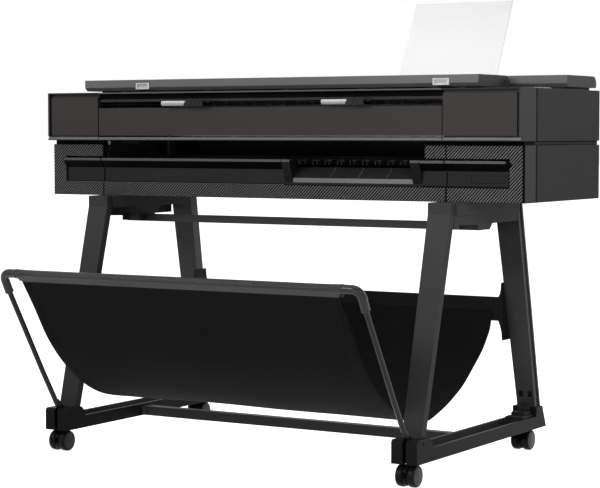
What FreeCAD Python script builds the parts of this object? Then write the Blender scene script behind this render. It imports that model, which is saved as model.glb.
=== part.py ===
import FreeCAD, Part
import os
import re

import Sketcher
from FreeCAD import Placement, Rotation, Vector

# Large format plotter: printer body with a top scanner, on a wheeled stand with a cloth basket.
# +X to the user's right, +Y to the back, +Z up, floor at Z = 0.

doc = FreeCAD.newDocument("Plotter")

# Driving dimensions, millimetres.
DIMENSIONS = [
    ("body_half", 658.5, "half the width of the printer body"),
    ("front_y", -32, "front plane of the upper body"),
    ("back_y", 414, "rear plane of the body"),
    ("upper_low", 755, "bottom edge of the upper body"),
    ("upper_top", 874, "top of the upper body"),
    ("slab_low", 880, "underside of the two top covers"),
    ("slab_top", 907.5, "top of the two top covers"),
    ("lower_front", -7.7, "front plane of the lower body"),
    ("lower_low", 617, "underside of the body"),
    ("lower_top", 745, "top edge of the lower body"),
    ("split_left", -501, "joint between left end cap and centre"),
    ("split_right", 464, "joint between right end cap and centre"),
    ("cap_back", 52, "depth to which the front end caps wrap the sides"),
    ("skin", 3, "moulded wall thickness"),
    ("seam", 1.1, "gap between neighbouring covers"),
    ("door_thick", 6, "thickness of the hinged front doors"),
    ("door_inset", 2, "depth of the doors behind the frame"),
    ("door_low", 766.8, "lower edge of the hinged front doors"),
    ("door_top", 862.5, "upper edge of the end doors"),
    ("centre_top", 835, "upper edge of the centre front panel"),
    ("rim", 5.5, "outer frame width beside the doors"),
    ("pocket_top", 870.5, "upper edge of the recess round the end doors"),
    ("side_front", 55, "front edge of the side panels"),
    ("bracket_front", -45.2, "front end of the stand brackets"),
    ("void_left", -503, "left end of the paper exit"),
    ("void_right", 409, "right end of the paper exit"),
    ("lip_low", 703.3, "underside of the output lip"),
    ("lip_top", 710.5, "top of the output lip"),
    ("lip_front", -21, "front edge of the output lip"),
    ("recess_half", 619.3, "half width of the recess below the lip"),
    ("recess_low", 651.3, "lower edge of the recess"),
    ("recess_y", -4, "plane of the recess panel"),
    ("ramp_left", 33, "left end of the output ramp"),
    ("ramp_right", 400, "right end of the output ramp"),
    ("plate_x", 622, "inner face of the chassis side plates"),
    ("plate_thick", 4, "thickness of the chassis side plates"),
    ("lid_left", -612, "left end of the scanner lid"),
    ("lid_right", 509, "right end of the scanner lid"),
    ("lid_front", 62.3, "front face of the scanner lid"),
    ("lid_back", 225.5, "rear face of the scanner lid"),
    ("lid_hinge_y", 207, "scanner lid hinge axis, depth"),
    ("lid_hinge_z", 889, "scanner lid hinge axis, height"),
    ("cover_front", 228, "front face of the roll cover"),
    ("cover_back", 401, "rear face of the roll cover"),
    ("cover_half", 655, "half the width of the roll cover"),
    ("slab_break", 888.5, "height of the fold in the cover fronts"),
    ("round_slab", 18.5, "radius of the rear top edges of the covers"),
    ("roll_y", 313, "roll spindle axis, depth"),
    ("roll_z", 814, "roll spindle axis, height"),
    ("roll_radius", 50, "radius of the full paper roll"),
    ("core_radius", 25, "radius of the roll core"),
    ("spindle_radius", 12, "radius of the roll spindle"),
    ("paper_left", -485, "left edge of the paper"),
    ("paper_width", 914, "width of a 36 inch paper roll"),
    ("running_gap", 0.05, "radial running clearance of the shafts"),
    ("rail_y", 183, "front face of the carriage rail"),
    ("rail_z", 765, "underside of the carriage rail"),
    ("rail_size", 30, "side of the square carriage rail"),
    ("foot_x", 479, "centre of each foot from the middle"),
    ("foot_width", 64, "width of each foot"),
    ("foot_low", 52, "underside of the feet"),
    ("foot_top", 82, "top of the foot beams"),
    ("foot_front", -235, "front end of the feet"),
    ("foot_back", 447, "rear end of the feet"),
    ("foot_seat", 105, "height at which the legs stand on the feet"),
    ("slot_width", 10, "slot in the foot for the basket arm"),
    ("pin_y", -207, "basket pivot, depth"),
    ("pin_z", 96, "basket pivot, height"),
    ("pin_radius", 3, "radius of the basket pivot pins"),
    ("wheel_radius", 24.8, "radius of the castor wheels"),
    ("castor_half", 24.1, "half the width over a pair of castor wheels"),
    ("castor_trail", 15, "distance from castor stem to axle"),
    ("axle_front", -212, "front castor axle, depth"),
    ("axle_back", 382, "rear castor axle, depth"),
    ("axle_radius", 3, "radius of the castor axles"),
    ("stem_radius", 5, "radius of the castor stems"),
    ("tube_y", -430, "front basket tube, depth"),
    ("tube_z", 447, "front basket tube, height"),
    ("tube_radius", 8.3, "radius of the basket tube with its sleeve"),
    ("tube_half", 424, "half the length of the basket tube"),
    ("arm_x", 479, "basket arm, distance from the middle"),
    ("feed_y", 193, "feed roller axis, depth"),
    ("feed_z", 705, "feed roller axis, height"),
    ("feed_radius", 12, "radius of the feed roller"),
    ("feed_shaft", 5, "radius of the feed roller shaft"),
    ("belt_half", 590, "distance of the belt pulleys from the middle"),
    ("belt_y", 223.5, "front edge of the carriage belt"),
    ("belt_z", 780, "height of the belt pulley axles"),
    ("belt_radius", 9.8, "outer radius of the belt on its pulleys"),
    ("belt_thick", 1.4, "thickness of the belt"),
    ("pulley_axle", 3, "radius of the belt pulley axles"),
    ("carriage_left", 480, "left side of the parked carriage"),
    ("carriage_right", 600, "right side of the parked carriage"),
    ("glass_left", -462, "left end of the scanner window"),
    ("glass_right", 472, "right end of the scanner window"),
    ("glass_front", 87, "front edge of the scanner window"),
    ("glass_back", 149, "rear edge of the scanner window"),
    ("screen_left", 519, "left side of the touch screen pocket"),
    ("screen_right", 649, "right side of the touch screen pocket"),
    ("screen_front", 59.5, "front edge of the touch screen pocket"),
    ("screen_back", 151, "rear edge of the touch screen pocket"),
    ("slot_low", 850, "lower face of the scanner slot"),
    ("deflector_y", -27.5, "deflector hinge axis, depth"),
    ("deflector_z", 847.6, "deflector hinge axis, height"),
    ("deflector_pin", 1.2, "radius of the deflector hinge pins"),
    ("support_left", 144, "left edge of the sheet support"),
    ("support_right", 412, "right edge of the sheet support"),
    ("support_y", 360, "sheet support hinge axis, depth"),
    ("support_z", 910, "sheet support hinge axis, height"),
    ("support_top", 1099, "top of the raised sheet support"),
    ("inlet_left", -560, "left side of the power inlet"),
    ("inlet_right", -520, "right side of the power inlet"),
    ("inlet_low", 655, "underside of the power inlet"),
    ("inlet_top", 685, "top of the power inlet"),
    ("ramp_low", 656.5, "lower edge of the output ramp"),
    ("web_in", 441, "inner face of the stand brackets"),
    ("web_out", 504, "outer web of the stand brackets"),
    ("web_thick", 4, "thickness of the bracket webs"),
    ("flange_low", 588, "underside of the bracket flange"),
    ("bracket_top", 612, "underside of the bracket top plate"),
    ("bracket_right", 510.5, "outer face of the bracket flange"),
    ("bracket_back", 287, "rear end of the stand brackets"),
    ("bar_front", 90, "front face of the upper cross beam"),
    ("bar_back", 104, "rear face of the upper cross beam"),
    ("bar_low", 549.5, "underside of the upper cross beam"),
    ("bar_top", 568, "top of the upper cross beam"),
    ("leg_knee", 591, "height at which the front legs turn upright"),
    ("leg_thick", 21, "thickness of the front legs"),
    ("rear_thick", 30, "thickness of the rear legs"),
    ("rear_bar_half", 442, "half the length of the basket rear bar"),
    ("rear_bar_low", 319, "underside of the basket rear bar"),
    ("rear_bar_top", 377, "top of the basket rear bar"),
    ("arm_radius", 6.3, "radius of the basket arms"),
    ("hood_half", 4.3, "half the thickness of the castor hood"),
]

dims = doc.addObject("Spreadsheet::Sheet", "dims")
for row, (alias, value, meaning) in enumerate(DIMENSIONS, start=1):
    dims.set("A%d" % row, str(value))
    dims.setAlias("A%d" % row, alias)
    dims.set("B%d" % row, meaning)
doc.recompute()

ALIASES = re.compile(r"\b(%s)\b" % "|".join(alias for alias, _, _ in DIMENSIONS))
NODES = []


def formula(text):
    """A length as a spreadsheet expression."""
    return ALIASES.sub(r"dims.\1", str(text))


def value(text):
    """The present value of a length expression, in millimetres."""
    result = dims.evalExpression(formula(text))
    return float(getattr(result, "Value", result))


def bind(obj, **settings):
    """Bind properties of an object to expressions; Base_x means Placement.Base.x."""
    for name, text in settings.items():
        path = "Placement.Base." + name[-1] if name.startswith("Base_") else name
        obj.setExpression(path, formula(text))
    return obj


def node(obj, label):
    """Name an object as one of the physical pieces of the plotter."""
    obj.Label = label
    NODES.append(obj)
    return obj


def block(x0, x1, y0, y1, z0, z1):
    """A box between two corners, its sides bound to the sheet."""
    box = doc.addObject("Part::Box", "Block")
    return bind(
        box,
        Base_x=x0,
        Base_y=y0,
        Base_z=z0,
        Length="(%s) - (%s)" % (x1, x0),
        Width="(%s) - (%s)" % (y1, y0),
        Height="(%s) - (%s)" % (z1, z0),
    )


AXIS_TURN = {
    "x": Rotation(Vector(0, 1, 0), 90),
    "y": Rotation(Vector(1, 0, 0), -90),
    "z": Rotation(),
}


def rod(axis, start, end, across, up, radius):
    """A cylinder along an axis; across and up are its centre in the other two directions."""
    cylinder = doc.addObject("Part::Cylinder", "Rod")
    cylinder.Placement = Placement(Vector(), AXIS_TURN[axis])
    base = {"x": (start, across, up), "y": (across, start, up), "z": (across, up, start)}[axis]
    return bind(
        cylinder,
        Base_x=base[0],
        Base_y=base[1],
        Base_z=base[2],
        Radius=radius,
        Height="(%s) - (%s)" % (end, start),
    )


def fuse(parts):
    """One object made of several."""
    union = doc.addObject("Part::MultiFuse", "Fusion")
    union.Shapes = parts
    union.Refine = True
    return union


def cut(base, tools):
    """A base with one or more tools taken away."""
    result = doc.addObject("Part::Cut", "Cut")
    result.Base = base
    result.Tool = tools[0] if len(tools) == 1 else fuse(tools)
    result.Refine = True
    return result


def group(parts):
    """Separate solids that share one node."""
    compound = doc.addObject("Part::Compound", "Group")
    compound.Links = parts
    return compound


def mirror(obj):
    """The same piece on the other side of the middle plane."""
    copy = doc.addObject("Part::Mirroring", "Mirror")
    copy.Source = obj
    copy.Normal = Vector(1, 0, 0)
    copy.Base = Vector(0, 0, 0)
    return copy


SKETCH_PLANE = {"x": "YZ_Plane", "y": "XZ_Plane", "z": "XY_Plane"}


def prism(axis, start, end, outline):
    """A padded sketch across an axis; the outline holds pairs of expressions (Y, Z), (X, Z) or (X, Y)."""
    body = doc.addObject("PartDesign::Body", "Body")
    sketch = body.newObject("Sketcher::SketchObject", "Sketch")
    planes = [plane for plane in body.Origin.OriginFeatures if plane.Role == SKETCH_PLANE[axis]]
    sketch.AttachmentSupport = [(planes[0], "")]
    sketch.MapMode = "FlatFace"
    corners = [Vector(value(first), value(second), 0) for first, second in outline]
    count = len(corners)
    for index in range(count):
        sketch.addGeometry(Part.LineSegment(corners[index], corners[(index + 1) % count]))
    for index in range(count):
        sketch.addConstraint(Sketcher.Constraint("Coincident", index, 2, (index + 1) % count, 1))
    for index, (first, second) in enumerate(outline):
        for kind, text in (("DistanceX", first), ("DistanceY", second)):
            number = sketch.addConstraint(Sketcher.Constraint(kind, -1, 1, index, 1, value(text)))
            sketch.setExpression("Constraints[%d]" % number, formula(text))
    # The XZ plane looks along -Y, so a pad across Y is measured the other way.
    offset = "-(%s)" % end if axis == "y" else start
    sketch.setExpression("AttachmentOffset.Base.z", formula(offset))
    pad = body.newObject("PartDesign::Pad", "Pad")
    pad.Profile = sketch
    pad.setExpression("Length", formula("(%s) - (%s)" % (end, start)))
    body.Tip = pad
    return body


def beam(low, high, z0, z1):
    """A straight bar that tapers or leans: (x0, x1, y0, y1) at the bottom and at the top."""
    wedge = doc.addObject("Part::Wedge", "Beam")
    # The wedge's own Y runs up and its Z runs to the front once it is turned.
    wedge.Placement = Placement(Vector(), Rotation(Vector(1, 0, 0), 90))
    bind(wedge, Ymin=z0, Ymax=z1, Xmin=low[0], Xmax=low[1], X2min=high[0], X2max=high[1])
    bind(wedge, Zmin="-(%s)" % low[3], Zmax="-(%s)" % low[2])
    bind(wedge, Z2min="-(%s)" % high[3], Z2max="-(%s)" % high[2])
    return wedge


def shape(solid):
    """A piece set in code, where no primitive or sketch fits."""
    feature = doc.addObject("Part::Feature", "Shape")
    feature.Shape = solid
    return feature


# ---------------------------------------------------------------- chassis and inner works

SIDES = (("left", -1), ("right", 1))


def across(side, near, far, *rest):
    """A block given by its distances from the middle plane, on the left (-1) or the right (+1)."""
    if side > 0:
        return block(near, far, *rest)
    return block("-(%s)" % far, "-(%s)" % near, *rest)


chassis_parts = [block("-649", "649", -1, "back_y - skin", "lower_low", "lower_low + skin")]
for name, side in SIDES:
    plate = across(side, "plate_x", "plate_x + plate_thick", 60, 405, "lower_low + skin", 861.7)
    chassis_parts.append(plate)
    chassis_parts.append(across(side, 565, "plate_x", "belt_y + 7.5", "belt_y + 10.5", 745, 815))
for x0 in ("-480", "380"):
    chassis_parts.append(block(x0, x0 + " + 10", 80, 160, "lower_low + skin", 699))
for x0 in ("-520", "505"):
    chassis_parts.append(block(x0, x0 + " + 4", "roll_y - 15", "roll_y + 15", "lower_low + skin", 830))
node(
    cut(
        fuse(chassis_parts),
        [
            rod("x", "-530", "520", "roll_y", "roll_z", "spindle_radius + running_gap"),
            rod("x", "-630", "630", "feed_y", "feed_z", "feed_shaft + running_gap"),
            rod("y", 230, 235, "-belt_half", "belt_z", "pulley_axle + running_gap"),
            rod("y", 230, 235, "belt_half", "belt_z", "pulley_axle + running_gap"),
        ],
    ),
    "chassis",
)

node(block("-490", "400", 63, 173, 699, 707), "platen")
node(
    fuse(
        [
            rod("x", "-495", "460", "feed_y", "feed_z", "feed_radius"),
            rod("x", "-626", "626", "feed_y", "feed_z", "feed_shaft"),
        ]
    ),
    "feed_roller",
)
node(
    block("-plate_x", "plate_x", "rail_y", "rail_y + rail_size", "rail_z", "rail_z + rail_size"),
    "carriage_rail",
)
node(
    fuse(
        [
            block("carriage_left", "carriage_right", 88, "rail_y - 0.5", 715, 830),
            block(
                "carriage_left",
                "carriage_right",
                "rail_y - 10",
                "rail_y + rail_size + 9",
                "rail_z + rail_size + 0.5",
                806,
            ),
            block(
                "carriage_left",
                "carriage_right",
                "rail_y + rail_size + 1",
                "rail_y + rail_size + 9",
                "rail_z + 3",
                806,
            ),
        ]
    ),
    "carriage",
)


def racetrack(radius, start, end):
    """A flat bar with round ends about the two belt pulleys."""
    low, high = ("belt_z %s (%s)" % (sign, radius) for sign in "-+")
    middle = block("-belt_half", "belt_half", start, end, low, high)
    return [middle] + [rod("y", start, end, x, "belt_z", radius) for x in ("-belt_half", "belt_half")]


belt_hole = racetrack("belt_radius - belt_thick", "belt_y - 0.5", "belt_y + 6.5")
node(cut(fuse(racetrack("belt_radius", "belt_y", "belt_y + 6")), belt_hole), "drive_belt")
pulleys = [
    fuse(
        [
            rod("y", "belt_y - 0.5", "belt_y + 6.5", x, "belt_z", "belt_radius - belt_thick - 0.1"),
            rod("y", "belt_y - 0.5", "belt_y + 10.5", x, "belt_z", "pulley_axle"),
        ]
    )
    for x in ("-belt_half", "belt_half")
]
motor = rod("y", "belt_y + 10.5", "belt_y + 61.5", "-belt_half", "belt_z", 25)
node(group([fuse([pulleys[0], motor]), pulleys[1]]), "belt_drive")
node(
    cut(
        block("carriage_left - 10", "carriage_right + 10", 70, 180, "lower_low + skin", 710),
        [block("carriage_left", "carriage_right", 80, 170, 700, 711)],
    ),
    "service_station",
)
node(
    group([block(x0, x0 + " + 37", -15, 45, 758, 852) for x0 in ("481", "521", "561", "601")]),
    "ink_cartridges",
)
node(
    fuse(
        [rod("x", "-535", "525", "roll_y", "roll_z", "spindle_radius")]
        + [rod("x", x0, x1, "roll_y", "roll_z", r) for x0, x1, r in (
            ("paper_left", "paper_left + 20", "core_radius"),
            ("paper_left - 4", "paper_left", 40),
            ("paper_left + paper_width - 20", "paper_left + paper_width", "core_radius"),
            ("paper_left + paper_width", "paper_left + paper_width + 4", 40),
        )]
    ),
    "roll_spindle",
)
node(
    cut(
        rod("x", "paper_left", "paper_left + paper_width", "roll_y", "roll_z", "roll_radius"),
        [rod("x", "paper_left - 1", "paper_left + paper_width + 1", "roll_y", "roll_z", "core_radius")],
    ),
    "paper_roll",
)

# ---------------------------------------------------------------- upper body

deck = fuse(
    [
        block("-cover_half", "cover_half", "cap_back + 0.3", "back_y - skin", "upper_top - 4", "upper_top"),
        block("split_left + seam", "split_right - seam", "front_y", "cap_back + 0.3", 870.5, "upper_top"),
        block("split_left + seam", "split_right - seam", -17, -14, 857.3, 870.5),
        block("-571", 500, 82, 190, "upper_top", "slab_low - 0.3"),
        block("-640", "-560", 240, 395, "upper_top", "slab_low - 0.3"),
        block(560, 640, 240, 395, "upper_top", "slab_low - 0.3"),
        block(
            "screen_left - 3",
            "screen_right + 3",
            "screen_front - 2.5",
            "screen_back + 4",
            "upper_top - 12",
            "upper_top",
        ),
        block("lid_left - 6", "lid_left - 0.4", "lid_hinge_y - 11", "lid_hinge_y + 9", 870, 897),
        block("lid_right + 0.4", "lid_right + 6", "lid_hinge_y - 11", "lid_hinge_y + 9", 870, 897),
        rod("x", "lid_left - 6", "lid_left + 12", "lid_hinge_y", "lid_hinge_z", 3),
        rod("x", "lid_right - 12", "lid_right + 6", "lid_hinge_y", "lid_hinge_z", 3),
    ]
)
node(
    cut(
        deck,
        [
            block("glass_left", "glass_right", "glass_front", "glass_back", 869, 881),
            block("-500", 480, 250, 405, 869, 875),
            block("lid_left - 0.3", "lid_right + 0.3", "lid_hinge_y - 10", "lid_hinge_y + 21", 869, 876),
            block("screen_left", "screen_right", "screen_front", "screen_back", 866, 875),
        ],
    ),
    "top_deck",
)
FIT = 0.3
node(
    block(
        "glass_left + %g" % FIT,
        "glass_right - %g" % FIT,
        "glass_front + %g" % FIT,
        "glass_back - %g" % FIT,
        "slab_low - 4 - %g" % FIT,
        "slab_low - %g" % FIT,
    ),
    "scanner_glass",
)
node(
    block("glass_left + 2", "glass_right - 2", "glass_front + 8", "glass_back - 8", "slot_low", 870),
    "scanner_sensor",
)
node(
    block("screen_left + 0.5", "screen_right - 0.5", "screen_front + 0.5", "screen_back - 0.5", 866.3, 876),
    "touch_screen",
)

for name, side, inner in (("left", -1, "-split_left"), ("right", 1, "split_right")):
    near = inner + " + seam / 2"
    shell = across(side, near, "body_half", "front_y", "cap_back", "upper_low", "upper_top")
    tools = [
        across(side, inner + " + skin", "body_half - skin", -20.7, 60, 758, 871),
        across(side, inner + " - 1", "body_half - rim", -40, -23.7, 765.2, "pocket_top"),
        across(side, inner + " + 10", "body_half - 18.5", -24, -20, 772, 858),
    ]
    groove = [(-33, 757), ("front_y", 757), (-28, 763), (-28, 766), (-33, 766)]
    tools.append(prism("x", "-body_half - 1", "body_half + 1", groove))
    node(cut(shell, tools), "end_cap_" + name)
    node(
        across(
            side,
            inner + " + seam",
            "body_half - 10",
            "front_y + door_inset",
            "front_y + door_inset + door_thick",
            "door_low",
            "door_top",
        ),
        "door_" + name,
    )

node(
    block(
        "split_left + seam * 2",
        "split_right - seam",
        "front_y + door_inset",
        "front_y + door_inset + door_thick",
        "door_low",
        "centre_top",
    ),
    "centre_front_panel",
)
ledge = [("front_y", "upper_low"), ("front_y", 757), (-28, 763), (20, 763), (20, "upper_low")]
node(prism("x", "split_left + seam", "split_right - seam", ledge), "front_ledge")

guide_parts = [block("split_left + seam", "split_right - seam", -24, 20, "slot_low", "slot_low + 6.6")]
deflector_spans = (("left", "-293", "-222", "-172"), ("right", "160", "229", "273"))
for name, x0, x1, x2 in deflector_spans:
    guide_parts.append(rod("x", x0 + " - 4", x2 + " + 4", "deflector_y", "deflector_z", "deflector_pin"))
    for lug in (x0 + " - 6", x2 + " + 4"):
        guide_parts.append(
            block(
                lug,
                lug + " + 2",
                "deflector_y - 2",
                "deflector_y + 6.5",
                "deflector_z - 2",
                "slot_low + 1",
            )
        )
    arms = [
        block(
            x,
            x + " + 5",
            "deflector_y - 21.5",
            "deflector_y + 2.1",
            "deflector_z - 2.2",
            "deflector_z + 2.1",
        )
        for x in (x0 + " + 6", x2 + " - 11")
    ]
    face = [
        block(x0, x1, "deflector_y - 24.5", "deflector_y - 21.5", 838, 852),
        block(x1, x2, "deflector_y - 23.5", "deflector_y - 21.5", 837, 856),
    ]
    bore = rod("x", x0 + " - 1", x2 + " + 1", "deflector_y", "deflector_z", "deflector_pin + running_gap")
    node(cut(fuse(face + arms), [bore]), "deflector_" + name)
node(fuse(guide_parts), "scanner_guide")
node(
    fuse([rod("x", "split_left + 3", "split_right - 3", -16, 843.2, 2)]
         + [rod("x", -480 + 40 * i, -450 + 40 * i, -16, 843.2, 3) for i in range(23)]),
    "scanner_feed_roller",
)

# ---------------------------------------------------------------- top covers


def rounded_cover(x0, x1, front, back):
    """A slab with a chamfered lower front edge and a rear edge rounded about its hinge."""
    centre = "%s - round_slab" % back
    axis_z = "slab_top - round_slab"
    outline = [
        (front, "slab_break"),
        (front, "slab_top"),
        (centre, "slab_top"),
        (centre, "slab_low"),
        (front + " + 9", "slab_low"),
    ]
    tail = cut(
        rod("x", x0, x1, centre, axis_z, "round_slab"),
        [
            block(x0 + " - 1", x1 + " + 1", centre + " - 40", back + " + 10", "slab_low - 20", "slab_low"),
            block(x0 + " - 1", x1 + " + 1", centre + " - 40", centre, "slab_low - 20", "slab_top + 5"),
        ],
    )
    return fuse([prism("x", x0, x1, outline), tail])


latch_spans = (("-451", "-410"), ("392", "434"))
lid = rounded_cover("lid_left", "lid_right", "lid_front", "lid_back")
pockets = [block(a + " - 1", b + " + 1", 60, 70, 879, 900.6) for a, b in latch_spans]
for lug, hole in (("lid_left - 1", "lid_left + 13"), ("lid_right - 13", "lid_right + 1")):
    pockets.append(rod("x", lug, hole, "lid_hinge_y", "lid_hinge_z", "3 + running_gap"))
node(cut(lid, pockets), "scanner_lid")
node(
    group([cut(block(a, b, 61.3, 69, 883.5, 899.6), [block(a + " + 5", b + " - 5", 60, 64, 887, 896)])
           for a, b in latch_spans]),
    "lid_latches",
)
lugs = [
    block(x, x + " + 6", "support_y - 5", "support_y + 5", "slab_top", "support_z + 1.5")
    for x in ("support_left - 8", "support_right + 2")
]
cover = rounded_cover("-cover_half", "cover_half", "cover_front", "cover_back")
pin = rod("x", "support_left - 8", "support_right + 8", "support_y", "support_z", 1)
node(fuse([cover, pin] + lugs), "roll_cover")
sheet = beam(
    ("support_left", "support_right", "support_y", "support_y + 2"),
    ("support_left", "support_right", "support_y + 90.7", "support_y + 92.7"),
    "support_z + 1",
    "support_top",
)
knuckle = rod("x", "support_left", "support_right", "support_y", "support_z", 2)
bore = rod("x", "support_left - 4", "support_right + 8", "support_y", "support_z", "1 + running_gap")
node(cut(fuse([sheet, knuckle]), [bore]), "sheet_support")

# ---------------------------------------------------------------- side, rear and lower covers

for name, side in SIDES:
    run = ("side_front", "back_y")
    upper_skin = across(side, "cover_half + 0.5", "body_half", *run, "upper_low", "upper_top")
    upper_floor = across(side, 650, "body_half", *run, "upper_low", "upper_low + skin")
    waist = across(side, 650, "650 + skin", *run, "lower_top - skin", "upper_low + skin")
    lower_roof = across(side, 650, "body_half", *run, "lower_top - skin", "lower_top")
    lower_skin = across(side, "cover_half + 0.5", "body_half", *run, "lower_low", "lower_top")
    node(fuse([upper_skin, upper_floor, waist, lower_roof, lower_skin]), "side_panel_" + name)
rear = block("-649.5", 649.5, "back_y - skin", "back_y", "lower_low", 869.7)
inlet_hole = block("inlet_left", "inlet_right", 405, 420, "inlet_low", "inlet_top")
switch_hole = block("inlet_right + 15", "inlet_right + 35", 405, 420, "inlet_low", "inlet_top")
node(cut(rear, [inlet_hole, switch_hole]), "rear_panel")
inlet = block("inlet_left + 0.1", "inlet_right - 0.1", 396, 416, "inlet_low + 0.1", "inlet_top - 0.1")
mouth = block("inlet_left + 8", "inlet_right - 8", 400, 420, "inlet_low + 5", "inlet_top - 5")
node(cut(inlet, [mouth]), "power_inlet")
node(
    block("inlet_right + 16", "inlet_right + 34", 407, 416, "inlet_low + 3", "inlet_top - 3"),
    "power_switch",
)

LOWER_WALL = ("lower_front", -1)
for name, side, top_inner, low_inner in (
    ("left", -1, "-void_left", "-void_left"),
    ("right", 1, "void_right", "split_right - seam"),
):
    node(
        fuse(
            [
                across(side, low_inner, "body_half", *LOWER_WALL, "lower_low", "recess_low"),
                across(side, "recess_half + 0.2", "body_half", *LOWER_WALL, "lower_low", "lower_top"),
                across(side, top_inner, "body_half", *LOWER_WALL, 714.5, "lower_top"),
                across(side, "body_half - skin", "body_half", -1, "cap_back", "lower_low", "lower_top"),
                across(side, top_inner, 654, -4, 5, 738, "upper_low"),
                across(side, 651, 654, -4, "cap_back", 738, "upper_low"),
            ]
        ),
        "lower_cover_" + name,
    )
node(
    block("void_left + seam", "split_right - seam * 2", *LOWER_WALL, "lower_low", "recess_low"),
    "lower_band",
)
node(
    cut(
        block("-recess_half", "recess_half", "recess_y", -1, "recess_low", "lip_low - 0.3"),
        [block("ramp_left - 0.3", "ramp_right + 0.3", -10, 5, "ramp_low - 0.3", 710)],
    ),
    "recess_panel",
)
lip = [
    ("lip_front", "lip_low + 1"),
    ("lip_front", "lip_top - 1"),
    ("lip_front + 1", "lip_top"),
    (20, "lip_top"),
    (20, "lip_top - 3"),
    (-3, "lip_top - 3"),
    (-3, "lip_low"),
    ("lip_front + 1", "lip_low"),
]
node(
    group(
        [
            prism("x", "-recess_half", "split_left - seam / 2", lip),
            prism("x", "split_left + seam / 2", "ramp_left - seam / 2", lip),
            prism("x", "ramp_right + seam / 2", "split_right - seam / 2", lip),
            prism("x", "split_right + seam / 2", "recess_half", lip),
        ]
    ),
    "output_lip",
)
cheek = [
    ("lip_front", 705),
    ("lip_front", "lip_top"),
    (20, "lip_top"),
    (20, 685),
    (-1, "ramp_low"),
    ("recess_y", "ramp_low"),
]
ramp = [
    ("recess_y", "ramp_low"),
    ("recess_y", 667),
    (28, 692),
    (30, 689.5),
    (-1, 664.5),
    (-1, "ramp_low"),
]
node(
    fuse(
        [
            prism("x", "ramp_left", "ramp_left + 22", cheek),
            prism("x", "ramp_right - 23", "ramp_right", cheek),
            prism("x", "ramp_left + 5", "ramp_right - 5", ramp),
        ]
    ),
    "output_ramp",
)
STAR_PITCH = 34
stars = [rod("x", 70 + STAR_PITCH * i, 73 + STAR_PITCH * i, 38, 700, 8) for i in range(9)]
node(fuse(stars + [rod("x", "ramp_left + 25", "ramp_right - 26", 38, 700, 2)]), "star_wheels")

# ---------------------------------------------------------------- stand


def pair(obj):
    """A right-hand piece together with its mirror image."""
    return group([obj, mirror(obj)])


# The outer web steps down round the end of the upper cross beam; the inner one comes down to it in a V.
outer_web = [
    ("bracket_front", "bracket_top"),
    ("bracket_front", 557),
    (-22, 556),
    (-22, 566),
    (74, 563),
    (74, 551),
    (136, "bar_low + 0.5"),
    (150, 564),
    ("bracket_back", 565),
    ("bracket_back", "bracket_top"),
]
inner_web = [
    ("bracket_front", "bracket_top"),
    ("bracket_front", "flange_low"),
    (54, "flange_low"),
    (64, "bar_low + 3"),
    ("bar_back + 3", "bar_low + 3"),
    (158, "flange_low"),
    ("bracket_back", "flange_low"),
    ("bracket_back", "bracket_top"),
]
bracket = fuse(
    [
        block("web_in", "bracket_right", "bracket_front", "bracket_back", "bracket_top", "lower_low"),
        block("web_out", "bracket_right", "bracket_front", "bracket_back", "flange_low", "bracket_top"),
        block("web_in", "web_out", "bracket_front", "bracket_front + 8", "flange_low", "bracket_top"),
        prism("x", "web_in", "web_in + web_thick", inner_web),
        prism("x", "web_out - web_thick", "web_out", outer_web),
    ]
)
beam_slot = block("web_in - 1", "web_out - web_thick", "bar_front", "bar_back", "bar_low", "bar_top")
node(pair(cut(bracket, [beam_slot])), "top_brackets")

front_leg = fuse(
    [
        beam(
            (452, 500, -194.4, "leg_thick - 194.4"),
            (447.3, 504.2, "bracket_front - 0.4 - leg_thick", "bracket_front - 0.4"),
            "foot_seat",
            "leg_knee",
        ),
        block(
            447.3,
            504.2,
            "bracket_front - 0.4 - leg_thick",
            "bracket_front - 0.4",
            "leg_knee",
            "lower_low",
        ),
    ]
)
node(pair(front_leg), "front_legs")
rear_leg = beam(
    (459, 507, 390.6, "rear_thick + 390.6"),
    (442, 501.5, "bracket_back + 1", "bracket_back + 1 + rear_thick"),
    "foot_seat",
    "lower_low",
)
slots = [block(x, x + " + 12", 370, 400, 129, 144) for x in ("465", "489")]
channel = beam(
    (503.5, 508, 397, 414),
    (498, 502.5, "bracket_back + 8", "bracket_back + 24"),
    "foot_seat",
    "lower_low",
)
node(pair(cut(rear_leg, slots + [channel])), "rear_legs")

foot_outline = [
    ("foot_front", "foot_low"),
    ("foot_front", 100),
    ("foot_front + 5", "foot_seat"),
    (-173, "foot_seat"),
    (-162, 92),
    (-158, "foot_top"),
    (389, "foot_top"),
    (390, "foot_seat"),
    (424, "foot_seat"),
    ("foot_back", "foot_low"),
]
foot = prism("x", "foot_x - foot_width / 2", "foot_x + foot_width / 2", foot_outline)
foot_tools = [
    block("foot_x - slot_width / 2", "foot_x + slot_width / 2", "foot_front - 1", -198, 80, 106),
    block("foot_x - slot_width / 2", "foot_x + slot_width / 2", "foot_front - 1", -206, 50, 80),
    block("foot_x - 24", "foot_x + 24", -150, 322, "foot_top - 22", "foot_top + 1"),
    block("foot_x - 24", "foot_x + 24", 322, 380, "foot_top - 3", "foot_top + 1"),
    rod("x", "foot_x - 30", "foot_x + foot_width / 2 + 1", "pin_y", "pin_z", "pin_radius"),
]
for axle in ("axle_front", "axle_back"):
    stem_hole = rod("z", 50, 74, "foot_x", axle + " + castor_trail", "stem_radius + running_gap")
    foot_tools.append(stem_hole)
node(pair(cut(foot, foot_tools)), "feet")

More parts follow.
